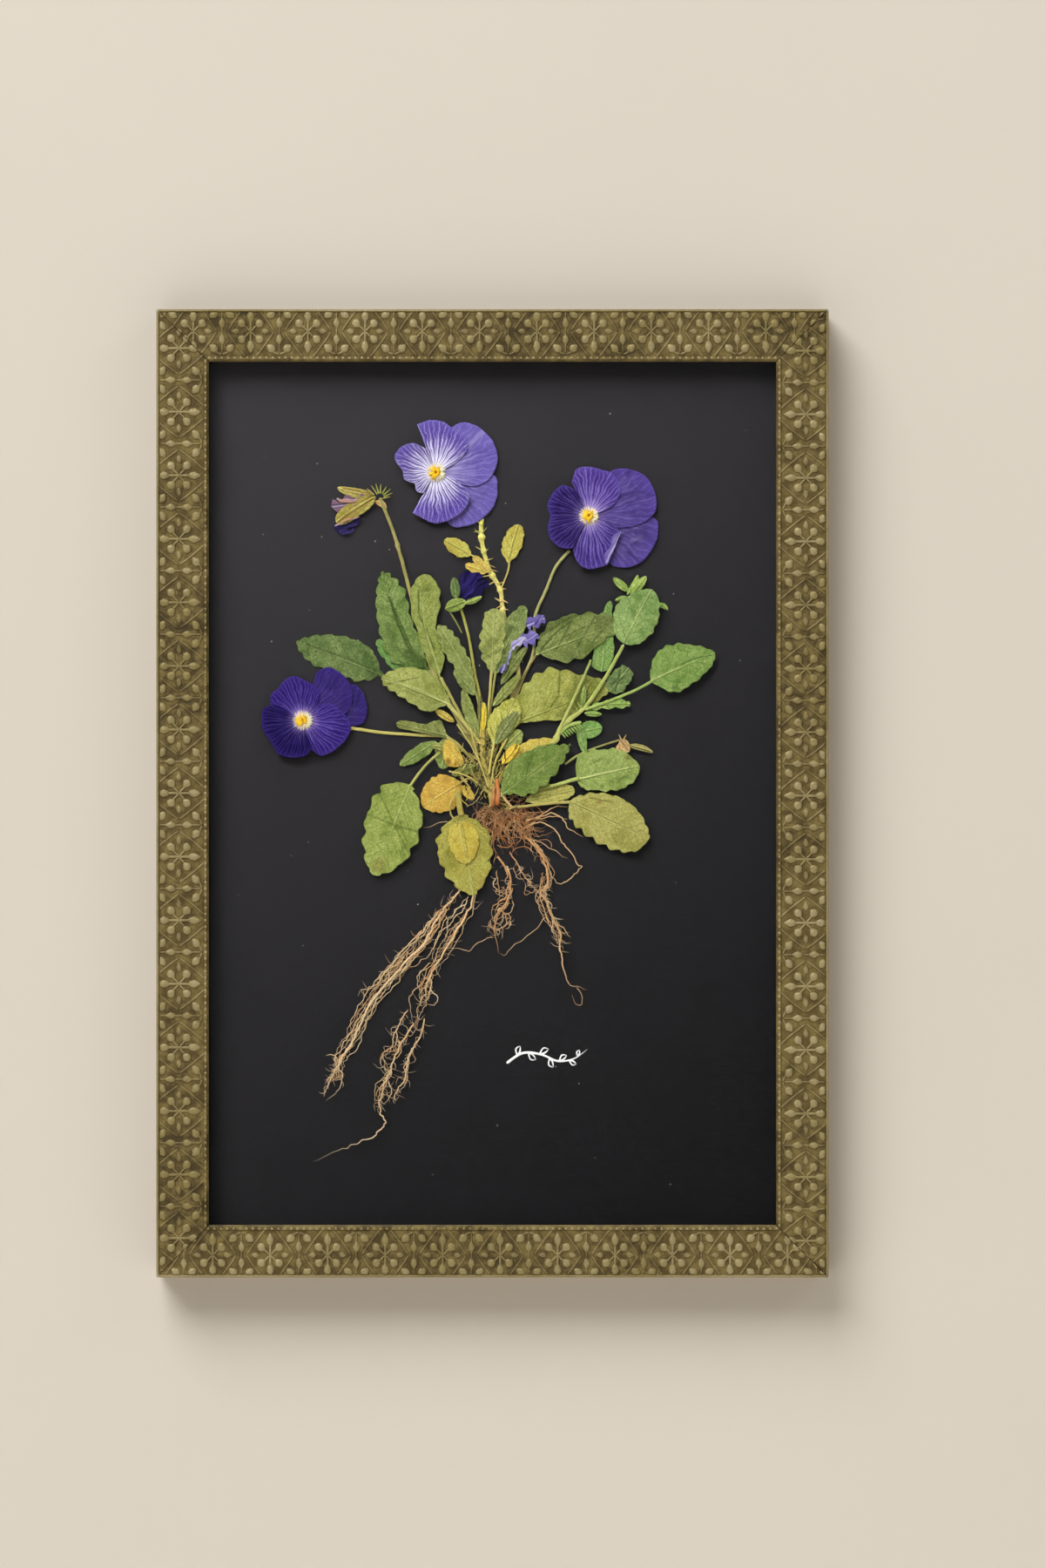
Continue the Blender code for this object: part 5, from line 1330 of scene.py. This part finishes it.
def gilding():
    """Bronze-gold leaf over dark umber, pale where the relief stands up, with raw wood behind."""
    f = Finish("bronze-gold moulding", 22.0, 900.0)
    x, y, z = f.parts(f.place)
    out_x = f.size(f.minus(x, MIDDLE_X))
    out_z = f.size(f.minus(z, MIDDLE_Z))
    half_width, half_height = OUTER_WIDTH / 2, OUTER_HEIGHT / 2
    worn = f.noise(f.place, 240.0, 4.0, 0.6)
    height = f.even_spread(y, FRAME_FRONT + FIELD_BACK * MM, FRAME_FRONT, 0.0, 1.0)
    height = f.plus(height, f.times(f.minus(worn, 0.5), 0.5))
    bead_edge = RAIL_FACE - BEADING
    near_x = f.minus((half_width - bead_edge) * MM, out_x)
    near_z = f.minus((half_height - bead_edge) * MM, out_z)
    beaded = f.above(f.maths("MINIMUM", near_x, near_z), 0.0)
    umber = f.mix(f.clouds, srgb(96, 79, 30), srgb(66, 51, 12))
    gold = f.mix(f.clouds, srgb(182, 168, 125), srgb(154, 139, 87))
    f.colour = f.mix(f.spread(worn, 0.35, 0.7), umber, srgb(132, 115, 61))
    f.lay(f.spread(height, f.plus(f.times(beaded, 0.42), 0.12), 0.96), gold)
    f.lay(f.grains, umber, 0.22)
    brushed = f.noise(f.stretched(f.place, (1.0, 14.0, 1.0)), 90.0, 5.0, 0.7)
    plain = f.mix(f.spread(brushed, 0.3, 0.7), srgb(110, 94, 48), srgb(86, 70, 30))
    f.lay(f.above(y, FRAME_FRONT + 1.5 * MM), plain, 0.8)
    seat_x = f.below(out_x, (half_width - RAIL_SEAT + 0.05) * MM)
    seat_z = f.below(out_z, (half_height - RAIL_SEAT + 0.05) * MM)
    inside = f.times(f.times(seat_x, seat_z), f.above(y, glass_low.y - 0.25 * MM))
    bare = f.maths("MAXIMUM", inside, f.above(y, rail_high.y - 0.25 * MM))
    level_grain = f.noise(f.stretched(f.place, (1.0, 6.0, 6.0)), 60.0, 5.0, 0.65, 0.6)
    upright_grain = f.noise(f.stretched(f.place, (6.0, 6.0, 1.0)), 60.0, 5.0, 0.65, 0.6)
    upright = f.below(f.minus(half_width * MM, out_x), f.minus(half_height * MM, out_z))
    grain = f.mix(upright, level_grain, upright_grain)
    f.lay(bare, f.mix(f.spread(grain, 0.3, 0.7), srgb(196, 164, 118), srgb(150, 116, 76)))
    metal = f.times(f.spread(height, 0.1, 0.9, 0.12, 0.45), f.minus(1.0, bare))
    rough = f.mix(bare, f.spread(worn, 0.3, 0.7, 0.42, 0.58), (0.8, 0.8, 0.8, 1.0))
    return f.finish(rough, f.plus(f.grains, f.times(worn, 1.2)), 0.10, Metallic=metal)


def black_card():
    """Black paper card with painted light: lighter towards the top left and darker towards the bottom right,
    as the light falls, with fine fibres.
    """
    f = Finish("black card", 60.0, 1600.0)
    x, y, z = f.parts(f.place)
    fibre = f.noise(f.stretched(f.place, (1.0, 1.0, 3.0)), 700.0, 4.0, 0.7, 1.2)
    up = f.even_spread(z, card_low.z, card_high.z, 0.0, 1.0)
    left = f.even_spread(x, card_high.x, card_low.x, 0.0, 1.0)
    # painted light: the card's colour runs from dark at the bottom right to lighter at the top left, where
    # the light falls more strongly
    painted_falloff = f.maths("POWER", f.plus(f.times(up, 0.7), f.times(left, 0.3)), 1.3)
    f.colour = f.mix(painted_falloff, srgb(10, 11, 13), srgb(58, 56, 59))
    f.lay(f.grains, srgb(36, 35, 35), 0.25)
    f.lay(f.spread(fibre, 0.48, 0.72), srgb(64, 62, 66), 0.36)
    rough = f.even_spread(fibre, 0.3, 0.7, 0.78, 0.92)
    return f.finish(rough, f.plus(fibre, f.grains), 0.015, Specular_IOR_Level=0.0)


def kraft_board():
    """Brown kraft-faced backing board, with long fibres and faint corrugation."""
    f = Finish("kraft board", 35.0, 1100.0)
    fibre = f.noise(f.stretched(f.place, (3.0, 1.0, 0.6)), 420.0, 5.0, 0.7, 0.8)
    f.colour = f.mix(f.clouds, srgb(188, 158, 120), srgb(179, 148, 109))
    f.lay(f.spread(fibre, 0.5, 0.75), srgb(126, 94, 60), 0.5)
    f.lay(f.spread(fibre, 0.42, 0.25), srgb(206, 178, 136), 0.4)
    flute = f.maths("SINE", f.times(f.parts(f.place)[0], 1250.0))
    return f.finish(f.even_spread(fibre, 0.3, 0.7, 0.8, 0.95), f.plus(f.times(flute, 0.35), fibre), 0.10)


def plated_steel():
    """Zinc-plated sheet steel, brushed along its length and dulled in spots."""
    f = Finish("plated steel", 160.0, 2200.0)
    brushed = f.noise(f.stretched(f.place, (1.0, 20.0, 20.0)), 260.0, 3.0, 0.6)
    f.colour = f.mix(f.clouds, srgb(226, 224, 218), srgb(196, 193, 184))
    rough = f.even_spread(brushed, 0.3, 0.7, 0.28, 0.48)
    return f.finish(rough, f.plus(brushed, f.grains), 0.02, Metallic=1.0)


def black_strip():
    f = Finish("black spacer strip", 90.0, 1500.0)
    f.colour = f.mix(f.clouds, srgb(34, 34, 36), srgb(24, 24, 26))
    return f.finish(f.even_spread(f.grains, 0.0, 1.0, 0.6, 0.8))


def picture_glass():
    """Clear glass that lets light straight through to what it covers."""
    f = Finish("picture glass")
    f.colour = (0.985, 0.995, 0.99, 1.0)
    f.see_through(f.add("ShaderNodeLightPath")["Is Shadow Ray"], (0.985, 0.99, 0.985, 1.0))
    return f.finish(0.02, IOR=1.17, Transmission_Weight=1.0, Specular_IOR_Level=0.12)


# ---------------------------------------------------------------- the moulding's relief


def rail_place(turns, along, across, height):
    """A point on a rail: along it from its middle, across it from its outer edge, above its sunk field.
    Turns counts quarter turns from the top rail."""
    reach = (OUTER_HEIGHT if turns % 2 == 0 else OUTER_WIDTH) / 2
    x, z = along, reach - across
    cosine, sine = [(1, 0), (0, 1), (-1, 0), (0, -1)][turns]
    return Vector((MIDDLE_X + (x * cosine - z * sine) * MM, FRAME_FRONT + (FIELD_BACK - height) * MM,
                   MIDDLE_Z + (x * sine + z * cosine) * MM))


def add_drop(bm, middle, length, width, angle, height=0.5, pointed=0.35, blunt=0.0):
    """A raised drop on a flat field, round at one end and narrow at the end that points along angle."""
    made = bmesh.ops.create_uvsphere(bm, u_segments=10, v_segments=6, radius=1.0)
    turn = math.radians(angle)
    for vert in made["verts"]:
        x, y, z = vert.co
        narrow = 1 - pointed * x if x > 0 else 1 - blunt * abs(x)
        a = x * length / 2
        b = y * width * 0.57 * narrow
        vert.co = Vector((middle[0] + a * math.cos(turn) - b * math.sin(turn),
                          middle[1] + a * math.sin(turn) + b * math.cos(turn), height * z))


def add_rib(bm, points, width, height):
    """A rounded rib through points, half sunk in the field."""
    steps = 8 * (len(points) - 1)
    made = bmesh.ops.create_grid(bm, x_segments=steps, y_segments=6, size=0.5)
    for vert in made["verts"]:
        share, turn = vert.co.x + 0.5, 2 * math.pi * (vert.co.y + 0.5)
        along, across = route_place(points, share)
        side_a, side_b = route_side(points, share)
        close = math.sqrt(max(0.0, 1 - (2 * share - 1) ** 10))
        out = width / 2 * math.cos(turn) * close
        vert.co = Vector((along + side_a * out, across + side_b * out, height * math.sin(turn) * close))


def add_motif(bm, middle, pitch):
    """One repeat of the damask: a diamond of ribs round a flower, and half a repeat on, a spray."""
    scale = pitch / MOTIF_PITCH
    def at(along, across):
        return middle + along * scale, MOTIF_LINE + across
    for way in (-1, 1):
        add_drop(bm, at(0, 6.7 * way), 6.6, 3.5, 90 * way, 0.58, 0.7, 0.2)
        add_drop(bm, at(6.5 * way, 0), 4.2 * scale, 2.5, 0 if way > 0 else 180, 0.42, 0.7)
        for side in (-1, 1):
            angle = math.degrees(math.atan2(2.4 * side, 2.6 * way))
            add_drop(bm, at(3.7 * way, 3.3 * side), 4.6, 3.8, angle + 180, 0.6, 0.45)
            add_rib(bm, (at(0.4 * way, 0.2 * side), at(1.3 * way, 1.3 * side), at(2.6 * way, 2.6 * side)),
                    1.1, 0.46)
            add_rib(bm, (at(10.1 * way, 0), at(7.9 * way, 3.4 * side), at(5.3 * way, 7.0 * side),
                         at(2.6 * way, 10.4 * side), at(0.0, 13.2 * side)), 1.15, 0.33)
    add_rib(bm, (at(0, -5.2), at(0, 0), at(0, 5.2)), 1.5, 0.46)
    for side in (-1, 1):
        add_drop(bm, at(12.3, 3.7 * side), 5.6, 3.1, 90 * side, 0.54, 0.7, 0.2)
        for way in (-1, 1):
            lean = 90 + 52 * way if side > 0 else -90 - 52 * way
            add_drop(bm, at(12.3 + 3.6 * way, 7.2 * side), 5.0, 3.6, lean + 180, 0.58, 0.5)
            add_rib(bm, (at(12.3 + 0.2 * way, 9.8 * side), at(12.3 + 1.4 * way, 9.4 * side),
                         at(12.3 + 2.8 * way, 8.6 * side)), 1.0, 0.40)
    add_rib(bm, (at(12.3, -10.2), at(12.3, 0), at(12.3, 10.2)), 1.0, 0.34)


# each rail's turns from the top one, the pattern's repeat, where its middle flower is, and beads in a repeat
RAIL_PATTERNS = {
    "rail_top": (0, 24.6, -5.5, 9),
    "rail_left": (1, 27.3, 0.0, 10),
    "rail_bottom": (2, 24.7, -3.3, 9),
    "rail_right": (3, 27.3, 1.1, 10),
}


def make_pattern(name, pitch, middle, beads):
    """One repeat of the pattern with its beads, as a flat mesh."""
    repeat = bmesh.new()
    add_motif(repeat, middle, pitch)
    for k in range(beads):
        add_drop(repeat, ((k - beads / 2) * pitch / beads, RAIL_FACE - 1.5), 2.0, 1.5, 0, 0.6, 0.0)
    bmesh.ops.remove_doubles(repeat, verts=repeat.verts, dist=0.002)
    pattern = bpy.data.meshes.new(f"{name}_pattern")
    repeat.to_mesh(pattern)
    repeat.free()
    return pattern


def cut_rail(bm, length):
    """Cuts a flat strip of pattern to its rail: both edges, and a mitre at each end."""
    inner, outer = RAIL_FACE - 0.45, 1.3
    end = length / 2 - 0.15
    cuts = (((0, inner, 0), (0, 1, 0)), ((0, outer, 0), (0, -1, 0)), ((end, 0, 0), (1, 1, 0)),
            ((-end, 0, 0), (-1, 1, 0)))
    for point, normal in cuts:
        whole = bm.verts[:] + bm.edges[:] + bm.faces[:]
        cut = bmesh.ops.bisect_plane(bm, geom=whole, dist=0.0001, plane_co=point, plane_no=normal,
                                     clear_outer=True)
        edges = [item for item in cut["geom_cut"] if isinstance(item, bmesh.types.BMEdge)]
        bmesh.ops.holes_fill(bm, edges=edges)


def make_relief(gilt):
    """The embossed pattern on each rail, cut at the mitres, and the beading along the sight edge."""
    for name, (turns, pitch, middle, beads) in RAIL_PATTERNS.items():
        length = OUTER_HEIGHT if turns % 2 else OUTER_WIDTH
        pattern = make_pattern(name, pitch, middle, beads)
        bm = bmesh.new()
        count = int(length / pitch / 2) + 1
        for k in range(-count, count + 1):
            made = len(bm.verts)
            bm.from_mesh(pattern)
            bm.verts.ensure_lookup_table()
            bmesh.ops.translate(bm, verts=bm.verts[made:], vec=(k * pitch, 0, 0))
        bpy.data.meshes.remove(pattern)
        cut_rail(bm, length)
        for vert in bm.verts:
            vert.co = rail_place(turns, vert.co.x, vert.co.y, max(-0.3, vert.co.z))
        finish_piece(f"{name}_relief", bm, gilt, "moulding")


# ---------------------------------------------------------------- small things

SPRIG_SPINE = ((6.0, -116.4), (13.0, -112.0), (21.0, -112.6), (28.0, -115.4), (35.0, -114.4), (41.0, -110.2))
# the sprig's leaves: where each starts along the spine, its side and its size
SPRIG_LEAVES = ((0.14, 1, 4.4), (0.26, -1, 4.6), (0.38, 1, 4.6), (0.50, -1, 4.4), (0.62, 1, 4.2),
                (0.74, -1, 3.6), (0.85, 1, 3.0))
# dust: the specks whose place is set, how many more there are, and how far from the middle those may lie
SET_SPECKS = ((-44.5, 105), (78, 86), (79, -38.5), (-79, 79), (-58, 66), (5.6, 125))
MORE_SPECKS, SPECK_U, SPECK_V = 26, 112, 175


def pen_line(bm, route, width, end_width):
    stem(bm, route, width, end_width, 0.12, (236, 236, 232), None, 0.22, sides=8, step=0.5, ribs=0.0,
         seed=route[0][0], point=True)


def make_flourish():
    """A plain penned sprig, low on the card to the right."""
    bm = plant_mesh()
    pen_line(bm, SPRIG_SPINE, 1.15, 0.7)
    for share, way, size in SPRIG_LEAVES:
        u, v = route_place(SPRIG_SPINE, share)
        side_u, side_v = route_side(SPRIG_SPINE, share)
        run_u, run_v = side_v, -side_u
        tip = (u + (0.75 * run_u + 0.66 * way * side_u) * size,
               v + (0.75 * run_v + 0.66 * way * side_v) * size)
        for bulge in (0.30, -0.12):
            middle = ((u + tip[0]) / 2 + bulge * size * (way * side_u - 0.5 * run_u),
                      (v + tip[1]) / 2 + bulge * size * (way * side_v - 0.5 * run_v))
            pen_line(bm, ((u, v), middle, tip), 0.7 if bulge > 0 else 0.95, 0.5)
    finish_plant("penned_sprig", bm, "ink", "card")


def make_dust():
    """A few pale specks of dust and pollen on the card."""
    bm = bmesh.new()
    draw = random.Random(12)
    places = list(SET_SPECKS)
    for speck in range(MORE_SPECKS):
        places.append((draw.uniform(-SPECK_U, SPECK_U), draw.uniform(-SPECK_V, SPECK_V)))
    for u, v in places:
        size = draw.uniform(0.10, 0.24)
        made = bmesh.ops.create_icosphere(bm, subdivisions=1, radius=1.0)
        for vert in made["verts"]:
            vert.co = place(u + vert.co.x * size, v + vert.co.z * size, 0.1 + 0.08 * vert.co.y)
    finish_piece("dust_specks", bm, FINISHES["ink"], "card")


def make_hanger_nails(steel):
    """The two round-headed nails that hold the sawtooth hanger to the top rail."""
    low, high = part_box("sawtooth_hanger")
    bm = bmesh.new()
    for side in (-1, 1):
        made = bmesh.ops.create_uvsphere(bm, u_segments=20, v_segments=10, radius=1.0)
        x = (low.x + high.x) / 2 + side * ((high.x - low.x) / 2 - 3.2 * MM)
        z = high.z - 3.2 * MM
        for vert in made["verts"]:
            a, b, c = vert.co
            vert.co = Vector((x + a * 1.7 * MM, high.y - 0.45 * MM + c * 0.42 * MM, z + b * 1.7 * MM))
    finish_piece("hanger_nails", bm, steel, "steel")


def dress_frame():
    """Gives the frame's own pieces their finishes, and adds its relief and its nails."""
    gilt, steel = gilding(), plated_steel()
    finishes = {"card": black_card(), "board": kraft_board(), "steel": steel, "glass": picture_glass(),
                "spacer": black_strip(), "moulding": gilt}
    slots = {row["node"]: row["material_slot"] for row in frame["record"]["subparts"]}
    for node, piece in frame["nodes"].items():
        if slots[node] in finishes:
            piece.data.materials.clear()
            piece.data.materials.append(finishes[slots[node]])
    make_relief(gilt)
    make_hanger_nails(steel)


# ---------------------------------------------------------------- the room


def plain_paint(name, colour):
    """A matt paint that is very slightly clouded."""
    f = Finish(name, 3.0, 400.0)
    f.colour = f.mix(f.clouds, colour, [level * 0.985 for level in colour[:3]] + [1.0])
    f.finish(0.95, Specular_IOR_Level=0.1)
    return f


def add_panel(name, material, shape):
    """A flat square of the room, whose corners shape(a, b) places, with a and b from -1 to 1."""
    bm = bmesh.new()
    made = bmesh.ops.create_grid(bm, x_segments=1, y_segments=1, size=1.0)
    for vert in made["verts"]:
        vert.co = shape(vert.co.x, vert.co.y)
    add_object(name, bm, material)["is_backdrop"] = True


def make_room():
    """A plain wall that is clear from behind, and a plain pale floor below."""
    paint = plain_paint("wall paint", srgb(227, 220, 208))
    behind = paint.add("ShaderNodeNewGeometry")["Backfacing"]
    paint.see_through(paint.maths("MAXIMUM", behind, paint.add("ShaderNodeLightPath")["Is Shadow Ray"]))
    add_panel("wall", paint.material,
              lambda a, b: Vector((a * 1.6, WALL_GAP, MIDDLE_Z + b * 1.3 + 0.55)))
    add_panel("floor", plain_paint("floor", srgb(226, 220, 210)).material,
              lambda a, b: Vector((a * 4.0, b * 4.0, MIDDLE_Z - FLOOR_DROP)))


def add_light(name, where, towards, size, power, colour):
    data = bpy.data.lights.new(name, "AREA")
    data.shape = "DISK"
    data.size = size
    data.energy = power
    data.color = colour
    lamp = bpy.data.objects.new(name, data)
    lamp.location = where
    lamp.rotation_euler = (Vector(towards) - Vector(where)).to_track_quat("-Z", "Y").to_euler()
    bpy.context.scene.collection.objects.link(lamp)


def make_lights():
    middle = Vector((MIDDLE_X, FRAME_FRONT, MIDDLE_Z))
    add_light("softbox", middle + Vector((-2.0, -3.0, 4.1)), middle, 3.9, 292.0, (1.0, 0.995, 0.99))
    add_light("side fill", middle + Vector((3.0, -2.0, 2.4)), middle, 1.6, 12.0, (1.0, 0.995, 0.985))
    add_light("back light", middle + Vector((0.8, 1.8, 1.0)), middle, 1.2, 24.0, (1.0, 0.99, 0.97))
    world = bpy.data.worlds.new("studio")
    world.use_nodes = True
    background = world.node_tree.nodes["Background"]
    background.inputs["Color"].default_value = (1.0, 0.99, 0.98, 1.0)
    background.inputs["Strength"].default_value = 0.185
    bpy.context.scene.world = world
    bpy.context.scene.view_settings.view_transform = "Standard"


def make_camera():
    data = bpy.data.cameras.new("camera")
    data.lens = 135.0
    data.sensor_width = 36.0
    camera = bpy.data.objects.new("camera", data)
    camera.location = (MIDDLE_X + 12.9 * MM, FRAME_FRONT - CAMERA_BACK, MIDDLE_Z + 4.0 * MM)
    camera.rotation_euler = (math.pi / 2, 0.0, 0.0)
    bpy.context.scene.collection.objects.link(camera)
    bpy.context.scene.camera = camera


make_room()
make_lights()
make_camera()
dress_frame()
make_leaves()
make_flowers()
make_scraps()
make_stalks()
make_seed_pod()
make_root_bundles()
make_root_tangle()
make_threads()
make_chaff()
make_flourish()
make_dust()

boxes = [[list(corner) for corner in box] for box in (cad_box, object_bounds())]
